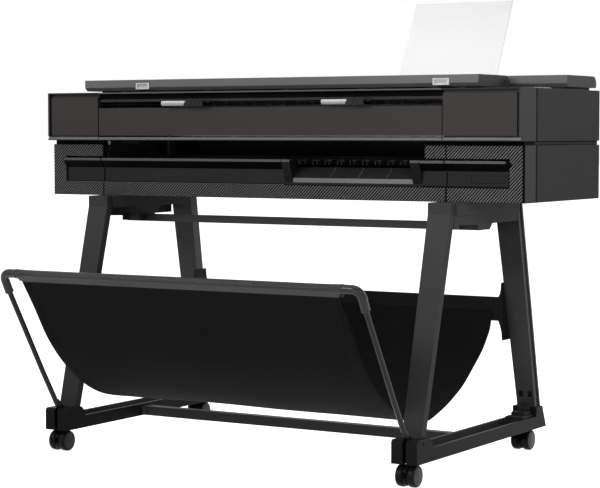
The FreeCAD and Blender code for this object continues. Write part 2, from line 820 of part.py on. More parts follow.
node(
    group([
        block("web_thick - web_out", "web_out - web_thick", "bar_front", "bar_back", "bar_low", "bar_top"),
        cut(
            fuse([block("-(foot_x - foot_width / 2)", "foot_x - foot_width / 2", 85, 109, "foot_low", 75.5)]
                 + [rod("z", "foot_low + 2", 75, x, 100, 30) for x in ("-465", "465")]),
            [across(side, "foot_x - foot_width / 2", 500, 60, 140, 50, 80) for _, side in SIDES],
        ),
    ]),
    "cross_beams",
)
gusset = prism("y", 318, 372, [
    (440, "rear_bar_low"), (440, "rear_bar_top"), (444, 384), (446.3, 395), (447.2, 412),
    (448.5, 412), (453.1, 272), (450.5, 272), (449, 292), (444.5, 309),
])
rear_bar = block("-rear_bar_half", "rear_bar_half", 318, 322, "rear_bar_low", "rear_bar_top")
node(fuse([rear_bar, gusset, mirror(gusset)]), "basket_rear_bar")

pivot_pin = rod("x", "foot_x - 24", "foot_x + 24", "pin_y", "pin_z", "pin_radius")
node(group([pivot_pin, mirror(pivot_pin)]), "pivot_pins")

node(rod("x", "-tube_half", "tube_half", "tube_y", "tube_z", "tube_radius"), "basket_tube")


def straight(start, end, radius):
    """A round bar between two points."""
    first, last = Vector(*start), Vector(*end)
    return Part.makeCylinder(radius, (last - first).Length, first, last - first)


ARM_X = value("arm_x")
TUBE_END = Vector(value("tube_half") + 0.2, value("tube_y"), value("tube_z"))
CORNER = Vector(ARM_X, TUBE_END.y, TUBE_END.z)
ARM_TOP = Vector(ARM_X, -406, 402)
BEND = 20


def elbow_solid(radius):
    """The moulded corner: along the tube, round a bend, then down the arm."""
    down = (ARM_TOP - CORNER).normalize()
    out = Vector(1, 0, 0)
    bend_start = CORNER - out * BEND
    bend_end = CORNER + down * BEND
    middle = bend_start + down * BEND + (out - down) * (BEND / 2 ** 0.5)
    path = Part.Wire(
        [
            Part.LineSegment(TUBE_END, bend_start).toShape(),
            Part.Arc(bend_start, middle, bend_end).toShape(),
            Part.LineSegment(bend_end, ARM_TOP).toShape(),
        ]
    )
    ring = Part.Wire([Part.makeCircle(radius, TUBE_END, out)])
    return path.makePipeShell([ring], True, False)


elbow = shape(elbow_solid(10.2))
node(pair(elbow), "basket_elbows")

# The arm is straight down to a knee and then turns towards its pivot.
arm_points = [(ARM_X, -405.8, 401.7), (ARM_X, -284, 200), (ARM_X, -230, 115)]
arm_radius = value("arm_radius")
arm = straight(arm_points[0], arm_points[1], arm_radius)
arm = arm.fuse(straight(arm_points[1], arm_points[2], arm_radius))
arm = arm.fuse(Part.makeSphere(arm_radius, Vector(*arm_points[1])))
tip_outline = [(-241, 122), (-230, 128), (-200, 98), (-207, 89), (-214, 92)]
arm_tip = prism("x", "arm_x - 4.7", "arm_x + 4.7", tip_outline)
arm_body = cut(
    fuse([shape(arm.removeSplitter()), arm_tip]),
    [rod("x", "arm_x - 10", "arm_x + 10", "pin_y", "pin_z", "pin_radius + running_gap")],
)
node(pair(arm_body), "basket_arms")

# The cloth hangs from the front tube, under the printer, to the rear bar.
CLOTH = [
    (-427, 433), (-379, 364), (-328, 287), (-269, 224), (-198, 171), (-137, 141), (-79, 125), (-21, 118),
    (34, 130), (80, 144), (127, 163), (164, 181), (220, 219), (265, 253), (298, 290), (310, 314), (314, 340),
]
CLOTH_THICK = 3
CLOTH_HALF = 425


def cloth_line(offset):
    """The cloth's line across the machine's left edge, moved out from the first by an offset."""
    points = []
    for index, (along, up) in enumerate(CLOTH):
        before = CLOTH[max(index - 1, 0)]
        after = CLOTH[min(index + 1, len(CLOTH) - 1)]
        run = Vector(0, after[0] - before[0], after[1] - before[1]).normalize()
        points.append(Vector(-CLOTH_HALF, along + run.z * offset, up - run.y * offset))
    line = Part.BSplineCurve()
    line.interpolate(points)
    return line


cloth_curve = cloth_line(0)
cloth_under = cloth_line(CLOTH_THICK)
ends = [
    Part.LineSegment(cloth_curve.EndPoint, cloth_under.EndPoint).toShape(),
    Part.LineSegment(cloth_under.StartPoint, cloth_curve.StartPoint).toShape(),
]
cloth_wire = Part.Wire(Part.__sortEdges__([cloth_curve.toShape(), cloth_under.toShape()] + ends))
node(shape(Part.Face(cloth_wire).extrude(Vector(2 * CLOTH_HALF, 0, 0))), "basket_cloth")

# ---------------------------------------------------------------- castors

WHEEL_GAP = 0.3

for name, side, axle in (
    ("front_left", -1, "axle_front"),
    ("front_right", 1, "axle_front"),
    ("rear_left", -1, "axle_back"),
    ("rear_right", 1, "axle_back"),
):
    centre = "foot_x" if side > 0 else "-foot_x"
    stem = axle + " + castor_trail"
    hood_low, hood_high = centre + " - hood_half", centre + " + hood_half"
    wheel_low, wheel_high = centre + " - castor_half", centre + " + castor_half"
    disc_spans = (
        (wheel_low, hood_low + " - %g" % WHEEL_GAP),
        (hood_high + " + %g" % WHEEL_GAP, wheel_high),
    )
    hood = fuse(
        [
            rod("x", hood_low, hood_high, axle, "wheel_radius", "wheel_radius - 0.8"),
            block(hood_low, hood_high, axle, stem + " + 8", 20, "foot_low - 1"),
            rod("z", 20, "foot_low - %g" % WHEEL_GAP, centre, stem, 8.5),
            rod("z", 50, 72, centre, stem, "stem_radius"),
        ]
    )
    hood_tools = [
        rod("x", centre + " - 15", centre + " + 15", axle, "wheel_radius", "axle_radius + running_gap"),
        block(centre + " - 15", centre + " + 15", axle + " - 40", axle + " + 40", -5, 5),
    ]
    for low, high in disc_spans:
        hood_tools.append(rod("x", low, high, axle, "wheel_radius", "wheel_radius + 0.6"))
    node(cut(hood, hood_tools), "castor_hood_" + name)
    wheel = [rod("x", low, high, axle, "wheel_radius", "wheel_radius") for low, high in disc_spans]
    wheel.append(rod("x", wheel_low, wheel_high, axle, "wheel_radius", "axle_radius"))
    node(fuse(wheel), "castor_wheel_" + name)

# ---------------------------------------------------------------- checks and files

doc.recompute()
for obj in doc.Objects:
    if "Invalid" in obj.State or "Error" in obj.State:
        raise RuntimeError("%s is in state %s" % (obj.Label, obj.State))

os.makedirs("parts", exist_ok=True)
for obj in NODES:
    solid = obj.Shape
    if solid.isNull() or not solid.isValid() or not solid.Solids:
        raise RuntimeError("%s has no valid solid" % obj.Label)
    solid.exportStep("parts/%s.step" % obj.Label)
print("%d parts written" % len(NODES))
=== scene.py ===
# %% [markdown]
# # A large format plotter with a top scanner
# The machine is a long dark printer body with a scanner and two slabs on top, a paper exit with a ribbed
# surround, and a wheeled stand that carries a cloth basket. Its exact shapes come from a imported CAD model.
# Blender adds what CAD leaves out: finishes, cloth, ribs, seams and small mouldings. We load the model
# first, and at the end we take the bounds of everything that is shown. Nothing that we add may make the
# machine bigger.

import math

import bmesh
import bpy
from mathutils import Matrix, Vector


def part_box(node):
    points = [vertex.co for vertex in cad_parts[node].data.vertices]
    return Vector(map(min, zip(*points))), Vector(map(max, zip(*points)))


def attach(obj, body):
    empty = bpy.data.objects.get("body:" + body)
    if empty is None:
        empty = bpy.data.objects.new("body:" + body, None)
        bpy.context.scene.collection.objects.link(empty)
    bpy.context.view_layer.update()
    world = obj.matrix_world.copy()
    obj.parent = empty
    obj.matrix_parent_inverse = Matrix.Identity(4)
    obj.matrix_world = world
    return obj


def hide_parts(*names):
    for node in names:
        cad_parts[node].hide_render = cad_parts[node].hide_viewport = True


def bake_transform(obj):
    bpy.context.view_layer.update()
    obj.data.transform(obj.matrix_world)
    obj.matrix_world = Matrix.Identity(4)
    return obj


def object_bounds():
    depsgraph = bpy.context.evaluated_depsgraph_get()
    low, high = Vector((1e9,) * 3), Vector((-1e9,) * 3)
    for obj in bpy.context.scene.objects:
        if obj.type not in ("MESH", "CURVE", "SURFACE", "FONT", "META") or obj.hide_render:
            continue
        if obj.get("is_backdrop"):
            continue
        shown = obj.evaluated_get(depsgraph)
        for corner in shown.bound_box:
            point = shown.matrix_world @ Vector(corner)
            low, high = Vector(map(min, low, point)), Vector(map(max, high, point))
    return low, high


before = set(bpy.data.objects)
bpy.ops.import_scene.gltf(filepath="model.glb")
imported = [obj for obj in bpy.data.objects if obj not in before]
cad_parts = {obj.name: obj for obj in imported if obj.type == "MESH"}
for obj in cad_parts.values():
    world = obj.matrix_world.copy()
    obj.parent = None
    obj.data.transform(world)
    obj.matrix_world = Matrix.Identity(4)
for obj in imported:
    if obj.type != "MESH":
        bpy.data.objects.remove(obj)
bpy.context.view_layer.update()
PRINTER = "printer"

# %% [markdown]
# The camera stands a few metres off to the right, a little above the paper exit, and looks slightly down.
# A long lens keeps the verticals nearly parallel, as in a product picture. We give it a turn (yaw) and a
# downward tilt, and leave shift and depth of field alone.

# %% Camera
camera_data = bpy.data.cameras.new("camera")
camera_data.sensor_width = 36
camera_data.lens = 116.92
camera_data.clip_end = 60
camera = bpy.data.objects.new("camera", camera_data)
camera.location = (2.4667, -3.9507, 0.7736)
camera.rotation_euler = (math.radians(90 - 3.265), 0, math.radians(31.222))
bpy.context.scene.collection.objects.link(camera)
bpy.context.scene.camera = camera
bpy.context.scene.view_settings.view_transform = "Standard"
print("lens", camera_data.lens, "mm")

# %% [markdown]
# Colours are easiest to judge as the 0 to 255 numbers of a colour picker, but shaders work in linear
# light. This helper converts one to the other. The second helper keeps node wiring short: it makes a node,
# sets its inputs and returns it.


# %% Colour and node helpers
def picked(red, green, blue):
    """A colour picker's 0 to 255 values as a linear colour with full alpha."""
    levels = (red, green, blue)
    return tuple(((c / 255 + 0.055) / 1.055) ** 2.4 if c > 10 else c / 3294 for c in levels) + (1,)


def grey(level):
    """A very slightly cool grey, as most of the plastics and paints here are."""
    return picked(level, level, level + 1)


def put(tree, kind, settings=None, **inputs):
    """Add a shader node; inputs are values or output sockets, named with _ for a space."""
    made = tree.nodes.new(kind)
    for name, value in (settings or {}).items():
        setattr(made, name, value)
    for name, value in inputs.items():
        numbered = name[0] == "i" and name[1:].isdigit()
        socket = made.inputs[int(name[1:]) if numbered else name.replace("_", " ")]
        if isinstance(value, bpy.types.NodeSocket):
            tree.links.new(value, socket)
        else:
            socket.default_value = value
    return made


def maths(tree, operation, first, second=0.0):
    """One step of arithmetic on values or sockets."""
    return put(tree, "ShaderNodeMath", {"operation": operation}, i0=first, i1=second).outputs[0]


def seen_directly(tree):
    """1 where the camera sees the surface, straight or by a mirror or glass, and 0 for the light it sends."""
    path = put(tree, "ShaderNodeLightPath")
    seen = maths(tree, "MAXIMUM", path.outputs["Is Camera Ray"], path.outputs["Is Transmission Ray"])
    return maths(tree, "MAXIMUM", seen, path.outputs["Is Glossy Ray"])


print("mid grey is", tuple(round(c, 3) for c in picked(128, 128, 128)))

# %% [markdown]
# The studio is a pale floor and a pale world. A white cyclorama would reflect in everything, so the lamps
# stay modest and the white background is painted only for rays that come straight from the camera or that
# a shiny surface reflects. The floor still darkens a touch where the machine shades it.

# %% Floor and world
world = bpy.data.worlds.new("studio")
bpy.context.scene.world = world
world.use_nodes = True
sky = world.node_tree
sky.nodes.clear()
seen = seen_directly(sky)
soft = put(sky, "ShaderNodeBackground", Color=(1, 1, 1, 1), Strength=0.45)
white = put(sky, "ShaderNodeBackground", Color=(1, 1, 1, 1), Strength=1.0)
blend_world = put(sky, "ShaderNodeMixShader", Fac=seen, i1=soft.outputs[0], i2=white.outputs[0])
put(sky, "ShaderNodeOutputWorld", Surface=blend_world.outputs[0])

floor_mesh = bpy.data.meshes.new("floor")
reach = 40
floor_mesh.from_pydata([(-reach, -reach, 0), (reach, -reach, 0), (reach, reach, 0), (-reach, reach, 0)], [],
                       [(0, 1, 2, 3)])
floor = bpy.data.objects.new("floor", floor_mesh)
floor.location.z = -0.0005
bpy.context.scene.collection.objects.link(floor)
floor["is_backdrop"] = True
floor_paint = bpy.data.materials.new("floor_paint")
floor_paint.use_nodes = True
tree = floor_paint.node_tree
tree.nodes.clear()
seen = seen_directly(tree)
paint = put(tree, "ShaderNodeBsdfDiffuse", Color=(0.8, 0.8, 0.8, 1))
bright = put(tree, "ShaderNodeEmission", Color=(1, 1, 1, 1), Strength=0.97)
lifted = put(tree, "ShaderNodeAddShader", i0=paint.outputs[0], i1=bright.outputs[0])
floor_mix = put(tree, "ShaderNodeMixShader", Fac=seen, i1=paint.outputs[0], i2=lifted.outputs[0])
put(tree, "ShaderNodeOutputMaterial", Surface=floor_mix.outputs[0])
floor_mesh.materials.append(floor_paint)
print("floor", reach * 2, "m square")

# %% [markdown]
# Five soft lamps do the work: a long key from the front left whose beam is narrowed so that it falls on
# the printer and fades down the legs, a small fill for the front corner of the right side, a weak strip
# overhead that draws highlights along the tubes, a low strip in front for the basket and the beams, and
# one behind that keeps the rear readable. The world gives the rest, so nothing is quite black.


# %% Lamps
def lamp(name, size, place, aim, power, spread=180):
    """A rectangular soft lamp at a place, turned to face a point; spread narrows its beam, in degrees."""
    data = bpy.data.lights.new(name, "AREA")
    data.spread = math.radians(spread)
    data.shape = "RECTANGLE"
    data.size, data.size_y = size
    data.energy = power
    thing = bpy.data.objects.new(name, data)
    thing.location = place
    thing.rotation_euler = (Vector(aim) - Vector(place)).to_track_quat("-Z", "Y").to_euler()
    bpy.context.scene.collection.objects.link(thing)
    return thing


machine_middle = (0, 0, 0.6)
lamp("key_lamp", (2.6, 0.7), (-1.4, -2.6, 2.0), (0, 0, 0.95), 6.8, 45)
lamp("fill_lamp", (0.4, 0.8), (1.7, -1.1, 1.2), (0.66, -0.1, 0.78), 0.6, 25)
lamp("top_lamp", (2.8, 0.1), (0.2, -1.1, 2.6), machine_middle, 4, 120)
lamp("low_lamp", (3.0, 0.4), (0.3, -3.2, 0.5), (0, 0, 0.4), 3.5, 90)
lamp("back_lamp", (2.6, 0.9), (0.8, 2.8, 1.9), machine_middle, 26, 110)

# %% [markdown]
# ## Shared surface effects
# Several finishes need the same four things: a fine moulded grain, softened edges painted lighter (partly
# rubbed wear, partly a painted highlight), a film of dust on faces that look up, and a woven pattern. Each is
# a node group with named sockets, so that a finish only has to say how strong it wants the effect. A group
# gives out only colours, masks, values and normals; the shader itself stays in the material.


# %% Group helper
def new_group(name, inputs, outputs):
    """A shader node group with named sockets; returns the group, its input node and its output node."""
    group = bpy.data.node_groups.new(name, "ShaderNodeTree")
    for label, kind, value in inputs:
        socket = group.interface.new_socket(label, in_out="INPUT", socket_type=kind)
        socket.default_value = value
    for label, kind in outputs:
        group.interface.new_socket(label, in_out="OUTPUT", socket_type=kind)
    return group, group.nodes.new("NodeGroupInput"), group.nodes.new("NodeGroupOutput")


FLOAT, COLOUR, NORMAL = "NodeSocketFloat", "NodeSocketColor", "NodeSocketVector"

# %% [markdown]
# Moulded plastic and powder coat are never quite smooth. Two layers of noise make the grain: a fine one for
# the pebbled skin of the mould and a broad one for the slow change in shade over a large panel.

# %% Grain group
grain, given, result = new_group(
    "moulded_grain",
    [("Scale", FLOAT, 900.0), ("Colour", COLOUR, (0.1, 0.1, 0.1, 1)), ("Variation", FLOAT, 0.15),
     ("Roughness", FLOAT, 0.5)],
    [("Colour", COLOUR), ("Roughness", FLOAT), ("Height", FLOAT)],
)
place = put(grain, "ShaderNodeTexCoord").outputs["Object"]
fine = put(grain, "ShaderNodeTexNoise", Vector=place, Scale=given.outputs["Scale"], Detail=4.0, Roughness=0.6)
broad = put(grain, "ShaderNodeTexNoise", Vector=place, Scale=5.5, Detail=3.0, Roughness=0.5)
centred = maths(grain, "SUBTRACT", broad.outputs["Fac"], 0.5)
speck = maths(grain, "SUBTRACT", fine.outputs["Fac"], 0.5)
change = maths(grain, "ADD", maths(grain, "MULTIPLY", centred, 0.7), speck)
shade = maths(grain, "ADD", 1.0, maths(grain, "MULTIPLY", change, given.outputs["Variation"]))
tinted = put(grain, "ShaderNodeVectorMath", {"operation": "SCALE"}, i0=given.outputs["Colour"], Scale=shade)
grain.links.new(tinted.outputs[0], result.inputs["Colour"])
rough = maths(grain, "ADD", given.outputs["Roughness"], maths(grain, "MULTIPLY", change, 0.12))
grain.links.new(rough, result.inputs["Roughness"])
grain.links.new(fine.outputs["Fac"], result.inputs["Height"])
print("grain sockets:", [socket.name for socket in grain.interface.items_tree])

# %% [markdown]
# Real edges are rounded by a fraction of a millimetre and catch the light. The Bevel node rounds the
# shading normal near an edge, and comparing that normal with the true one gives a mask of the edges, which
# a little noise breaks up. Each finish paints the masked edges a lighter colour: partly rubbed wear, partly a
# painted highlight along the edge.

# %% Edge group
edges, given, result = new_group(
    "edge_wear_and_highlight",
    [("Radius", FLOAT, 0.0012), ("Amount", FLOAT, 0.3)],
    [("Mask", FLOAT), ("Normal", NORMAL)],
)
rounded = put(edges, "ShaderNodeBevel", {"samples": 4}, Radius=given.outputs["Radius"])
flat = put(edges, "ShaderNodeNewGeometry").outputs["Normal"]
likeness = put(edges, "ShaderNodeVectorMath", {"operation": "DOT_PRODUCT"}, i0=rounded.outputs[0], i1=flat)
bend = maths(edges, "MULTIPLY", maths(edges, "SUBTRACT", 1.0, likeness.outputs["Value"]), 4.0)
place = put(edges, "ShaderNodeTexCoord").outputs["Object"]
rub = put(edges, "ShaderNodeTexNoise", Vector=place, Scale=140.0, Detail=3.0)
broken = maths(edges, "MULTIPLY", bend, maths(edges, "MULTIPLY", rub.outputs["Fac"], 1.6))
mask = put(edges, "ShaderNodeClamp", Value=maths(edges, "MULTIPLY", broken, given.outputs["Amount"]))
edges.links.new(mask.outputs[0], result.inputs["Mask"])
edges.links.new(rounded.outputs[0], result.inputs["Normal"])

# %% [markdown]
# Dust gathers on faces that look up. The mask is the upward part of the surface normal, broken by noise.

# %% Dust group
dust, given, result = new_group("dust_film", [("Amount", FLOAT, 0.05)], [("Mask", FLOAT)])
facing = put(dust, "ShaderNodeSeparateXYZ", Vector=put(dust, "ShaderNodeNewGeometry").outputs["Normal"])
up = put(dust, "ShaderNodeClamp", Value=facing.outputs["Z"])
place = put(dust, "ShaderNodeTexCoord").outputs["Object"]
patches = put(dust, "ShaderNodeTexNoise", Vector=place, Scale=18.0, Detail=5.0)
film = maths(dust, "MULTIPLY", maths(dust, "MULTIPLY", up.outputs[0], patches.outputs["Fac"]),
             given.outputs["Amount"])
dust.links.new(film, result.inputs["Mask"])

# %% [markdown]
# Cloth needs warp and weft. Two crossed waves, one over the other, give the height of a plain weave. The
# cloth's own UV map carries them, so that the threads follow the cloth round its curve.

# %% Weave group
weave, given, result = new_group("plain_weave", [("Threads", FLOAT, 600.0)],
                                 [("Height", FLOAT), ("Thread", FLOAT)])
thread_place = put(weave, "ShaderNodeTexCoord").outputs["UV"]
spread = put(weave, "ShaderNodeVectorMath", {"operation": "SCALE"}, i0=thread_place,
             Scale=given.outputs["Threads"])
split = put(weave, "ShaderNodeSeparateXYZ", Vector=spread.outputs[0])
warp = maths(weave, "SINE", split.outputs["X"])
weft = maths(weave, "SINE", split.outputs["Y"])
lift = maths(weave, "MAXIMUM", warp, weft)
weave.links.new(lift, result.inputs["Height"])
weave.links.new(maths(weave, "MULTIPLY", warp, weft), result.inputs["Thread"])
print("groups:", [group.name for group in bpy.data.node_groups])

# %% [markdown]
# ## Finishes
# Most of this machine is moulded plastic or powder-coated metal, which differ only in colour, shine, grain
# and how much their edges show. One helper wires the three groups into a Principled shader and takes those
# numbers. Sheen, coat and metal are plain numbers on the shader, so that they survive an export.


# %% Finish helper
def finish(name, colour, roughness, scale=900.0, variation=0.25, bump=0.08, edge=0.3, radius=0.001,
           wear_and_highlight_colour=None, dusty=0.03, metallic=0.0, specular=0.16, coat=0.0):
    """A moulded or painted material with grain, lighter edges (wear and painted highlight) and a little dust.
    """
    material = bpy.data.materials.new(name)
    material.use_nodes = True
    tree = material.node_tree
    shader = tree.nodes["Principled BSDF"]
    skin = put(tree, "ShaderNodeGroup", {"node_tree": grain}, Scale=scale, Colour=colour,
               Variation=variation, Roughness=roughness)
    rims = put(tree, "ShaderNodeGroup", {"node_tree": edges}, Radius=radius, Amount=edge)
    film = put(tree, "ShaderNodeGroup", {"node_tree": dust}, Amount=dusty)
    worn_and_highlit = put(tree, "ShaderNodeMix", {"data_type": "RGBA"}, i0=rims.outputs["Mask"])
    tree.links.new(skin.outputs["Colour"], worn_and_highlit.inputs[6])
    # The lighter edge colour is partly rubbed wear and partly a painted highlight.
    worn_and_highlit.inputs[7].default_value = wear_and_highlight_colour or tuple(min(1, c * 2.6 + 0.02) for c in colour[:3]) + (1,)
    dusted = put(tree, "ShaderNodeMix", {"data_type": "RGBA"}, i0=film.outputs["Mask"])
    tree.links.new(worn_and_highlit.outputs[2], dusted.inputs[6])
    dusted.inputs[7].default_value = picked(150, 145, 138)
    tree.links.new(dusted.outputs[2], shader.inputs["Base Color"])
    tree.links.new(skin.outputs["Roughness"], shader.inputs["Roughness"])
    relief = put(tree, "ShaderNodeBump", Height=skin.outputs["Height"], Normal=rims.outputs["Normal"],
                 Strength=bump, Distance=0.0004)
    tree.links.new(relief.outputs[0], shader.inputs["Normal"])
    shader.inputs["Metallic"].default_value = metallic
    shader.inputs["Specular IOR Level"].default_value = specular
    shader.inputs["Coat Weight"].default_value = coat
    return material


# %% [markdown]
# The covers are a dark neutral grey, the front panels a warmer brown-grey with a finer skin, and the deep
# parts of the paper path nearly black: painted shade, so that the openings read as dark slots. The stand is
# powder-coated: a little rougher, with a coarser orange-peel texture. Bare metal shows only on the deflectors
# and shafts.

# %% Plastic and metal finishes
cover_grey = finish("cover_grey", grey(40), 0.45, bump=0.12, edge=0.35, specular=0.06)
# The side and rear panels take a slightly darker copy of the cover grey: painted shade on faces turned from
# the lamps.
side_painted_shade_grey = finish("side_painted_shade_grey", grey(35), 0.5, bump=0.12, edge=0.35, specular=0.04)
slab_grey = finish("slab_grey", grey(94), 0.46, bump=0.12, edge=0.2)
# A darker copy of the slab grey: painted shade on the ends of the lid and roll cover. It also lightens the
# hinge lugs and the end caps' corner edges, as painted light.
shade_and_highlight_grey = finish("shade_and_highlight_grey", grey(57), 0.46, bump=0.12, edge=0.2, specular=0.06)
panel_brown = finish("panel_brown", picked(39, 34, 33), 0.4, scale=1300.0, bump=0.1, edge=0.35)
trim_black = finish("trim_black", grey(20), 0.38, scale=1100.0, edge=0.25)
# The recess under the exit lip is painted nearly black: painted shade.
recess_painted_shade = finish("recess_painted_shade", grey(16), 0.42, scale=1100.0, edge=0.25, specular=0.12)
# Light grey for the faces of the ribs and the recess rim, a painted highlight, and for the mark on the
# rocker.
highlight_and_mark_grey = finish("highlight_and_mark_grey", grey(90), 0.5, edge=0.1, radius=0.0003)
stand_coat = finish("stand_coat", grey(54), 0.42, scale=520.0, variation=0.2, bump=0.2, edge=0.4,
                    specular=0.03)
rear_coat = finish("rear_coat", grey(52), 0.5, scale=520.0, variation=0.2, bump=0.2, edge=0.4)
# A much darker copy of the stand coat for the feet and the basket's rear bar: painted shade low down.
stand_coat_painted_shade = finish("stand_coat_painted_shade", grey(25), 0.4, scale=520.0, variation=0.2, bump=0.2, edge=0.5, radius=0.002,
                   specular=0.03)
latch_grey = finish("latch_grey", picked(192, 192, 190), 0.42, scale=1200.0, variation=0.06)
# A darker copy of the latch grey for the finger recess: painted shade.
latch_recess_shade = finish("latch_recess_shade", picked(166, 166, 164), 0.42, scale=1200.0, variation=0.08)
bare_steel = finish("bare_steel", picked(190, 190, 188), 0.34, scale=1600.0, variation=0.12, metallic=0.85,
                    edge=0.1)
sheet_steel = finish("sheet_steel", picked(120, 122, 124), 0.5, scale=700.0, metallic=0.6)
rubber_black = finish("rubber_black", grey(30), 0.75, scale=700.0, bump=0.2, edge=0.1, specular=0.3)
nylon_black = finish("nylon_black", grey(46), 0.34, scale=800.0, edge=0.1, radius=0.001, specular=0.12)
tread_black = finish("tread_black", grey(12), 0.25, scale=800.0, edge=0.1, radius=0.001, specular=0.08)
tube_paint = finish("tube_paint", grey(20), 0.25, scale=600.0, edge=0.2, specular=0.22)
sheet_white = finish("sheet_white", picked(229, 229, 229), 0.6, scale=1500.0, variation=0.02, edge=0.0,
                     dusty=0.0)
ramp_grey = finish("ramp_grey", grey(102), 0.34, scale=1100.0, edge=0.1)
# A darker copy of the ramp grey for the ramp's slope under the lip: painted shade.
ramp_painted_shade = finish("ramp_painted_shade", grey(26), 0.4, scale=1100.0, edge=0.1)
screen_black = finish("screen_black", picked(12, 12, 14), 0.12, scale=500.0, variation=0.05, bump=0.01,
                      coat=0.6)
deep_black = finish("deep_black", grey(5), 0.7, edge=0.05, specular=0.03, dusty=0.0)
bracket_black = finish("bracket_black", grey(16), 0.35, edge=0.5, radius=0.0005)
lip_grey = finish("lip_grey", grey(72), 0.42, scale=1100.0, edge=0.15)
# A lighter copy of the cover grey for the deck's front edge: a painted highlight.
painted_edge_highlight = finish("painted_edge_highlight", grey(72), 0.4, scale=1100.0, edge=0.3)
ramp_line_grey = finish("ramp_line_grey", grey(90), 0.4, edge=0.1)
blade_steel = finish("blade_steel", picked(150, 150, 149), 0.45, scale=1600.0, variation=0.1, metallic=0.35,
                     edge=0.15)
thread_grey = finish("thread_grey", grey(44), 0.8, edge=0.0, specular=0.2)
elbow_grey = finish("elbow_grey", grey(28), 0.2, scale=700.0, edge=0.25, specular=0.3)
display_black = finish("display_black", picked(6, 6, 8), 0.08, scale=500.0, variation=0.05, bump=0.01,
                       coat=0.8)
screw_black = finish("screw_black", grey(24), 0.32, scale=900.0, metallic=0.3, edge=0.5, radius=0.0004)
print(len(bpy.data.materials), "materials so far")

# %% [markdown]
# The scanner glass is a flat clear sheet over a dark bed. Flat glass hardly bends the light, so it needs no
# refraction: it is a dark shiny surface that lets most of what is under it show through its alpha.

# %% Glass
scanner_clear = bpy.data.materials.new("scanner_clear")
scanner_clear.use_nodes = True
glass_shader = scanner_clear.node_tree.nodes["Principled BSDF"]
glass_shader.inputs["Alpha"].default_value = 0.45
smudge = put(scanner_clear.node_tree, "ShaderNodeTexNoise", Scale=30.0, Detail=6.0)
streak = maths(scanner_clear.node_tree, "MULTIPLY", smudge.outputs["Fac"], 0.12)
scanner_clear.node_tree.links.new(streak, glass_shader.inputs["Roughness"])
glass_shader.inputs["Base Color"].default_value = picked(34, 40, 40)
glass_shader.inputs["Specular IOR Level"].default_value = 0.3

# %% [markdown]
# The basket is a black woven cloth. It is matt, with a faint sheen where threads catch the light at a low
# angle, and a slow change in tone that varies at random. Where it is stretched round the front tube the
# threads lie flat, so there it shines: the same weave is made twice, dull and shiny.

# %% Cloth finish
def cloth_finish(name, roughness, specular):
    """The black weave, with the shine of its threads as plain numbers."""
    material = bpy.data.materials.new(name)
    material.use_nodes = True
    tree = material.node_tree
    shader = tree.nodes["Principled BSDF"]
    threads = put(tree, "ShaderNodeGroup", {"node_tree": weave}, Threads=5200.0)
    skin = put(tree, "ShaderNodeGroup", {"node_tree": grain}, Scale=240.0, Colour=grey(14),
               Variation=0.9, Roughness=roughness)
    tree.links.new(skin.outputs["Colour"], shader.inputs["Base Color"])
    tree.links.new(skin.outputs["Roughness"], shader.inputs["Roughness"])
    relief = put(tree, "ShaderNodeBump", Height=threads.outputs["Height"], Strength=0.35, Distance=0.0003)
    tree.links.new(relief.outputs[0], shader.inputs["Normal"])
    shader.inputs["Sheen Weight"].default_value = 0.04
    shader.inputs["Sheen Roughness"].default_value = 0.4
    shader.inputs["Specular IOR Level"].default_value = specular
    return material


basket_black = cloth_finish("basket_black", 0.78, 0.05)
sleeve_black = cloth_finish("sleeve_black", 0.2, 0.3)
print("cloth and its stretched sleeve:", basket_black.name, sleeve_black.name)

# %% [markdown]
# The CAD pieces carry over with the right shape, so each only needs its finish put in its material slots.

# %% Dress the CAD pieces
DRESS = {
    cover_grey: "end_cap_left end_cap_right lower_cover_left lower_cover_right lower_band front_ledge "
                "top_deck",
    # Side and rear panels: the darker painted-shade copy of the cover grey.
    side_painted_shade_grey: "side_panel_left side_panel_right rear_panel",
    slab_grey: "scanner_lid roll_cover output_lip",
    panel_brown: "door_left door_right centre_front_panel",
    # The recess panel is painted nearly black as shade.
    recess_painted_shade: "recess_panel",
    trim_black: "platen carriage service_station output_ramp star_wheels drive_belt scanner_guide "
                "power_inlet power_switch ink_cartridges scanner_sensor",
    stand_coat: "top_brackets front_legs",
    rear_coat: "rear_legs cross_beams",
    # The feet and the rear bar take the darker painted-shade copy of the stand coat.
    stand_coat_painted_shade: "feet basket_rear_bar",
    latch_grey: "lid_latches",
    bare_steel: "deflector_left deflector_right carriage_rail roll_spindle pivot_pins belt_drive",
    sheet_steel: "chassis",
    rubber_black: "feed_roller",
    deep_black: "scanner_feed_roller",
    tread_black: "castor_wheel_front_left castor_wheel_front_right castor_wheel_rear_left "
                 "castor_wheel_rear_right castor_hood_front_left castor_hood_front_right "
                 "castor_hood_rear_left castor_hood_rear_right",
    tube_paint: "basket_arms basket_tube",
    elbow_grey: "basket_elbows",
    basket_black: "basket_cloth",
    sheet_white: "sheet_support paper_roll",
    scanner_clear: "scanner_glass",
    screen_black: "touch_screen",
}
dressed = set()
for material, names in DRESS.items():
    for name in names.split():
        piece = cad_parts[name]
        piece.data.materials.clear()
        piece.data.materials.append(material)
        dressed.add(name)
print("without a finish:", sorted(set(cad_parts) - dressed))


# %% [markdown]
# A piece can take a second finish on some of its faces, chosen by where they lie, so the shape itself stays
# as the CAD made it. Most second tones here are painted light and shade: black on the ground behind the ribs,
# on the brow under the deck's front edge and in the gap under the lid is painted shade, a darker grey on the
# ends of the slabs and on the slope of the paper ramp is painted shade, and a lighter grey on the deck's
# front edge and on the chamfers that face up is a painted highlight. The waist between the upper and lower
# covers is a black joint.


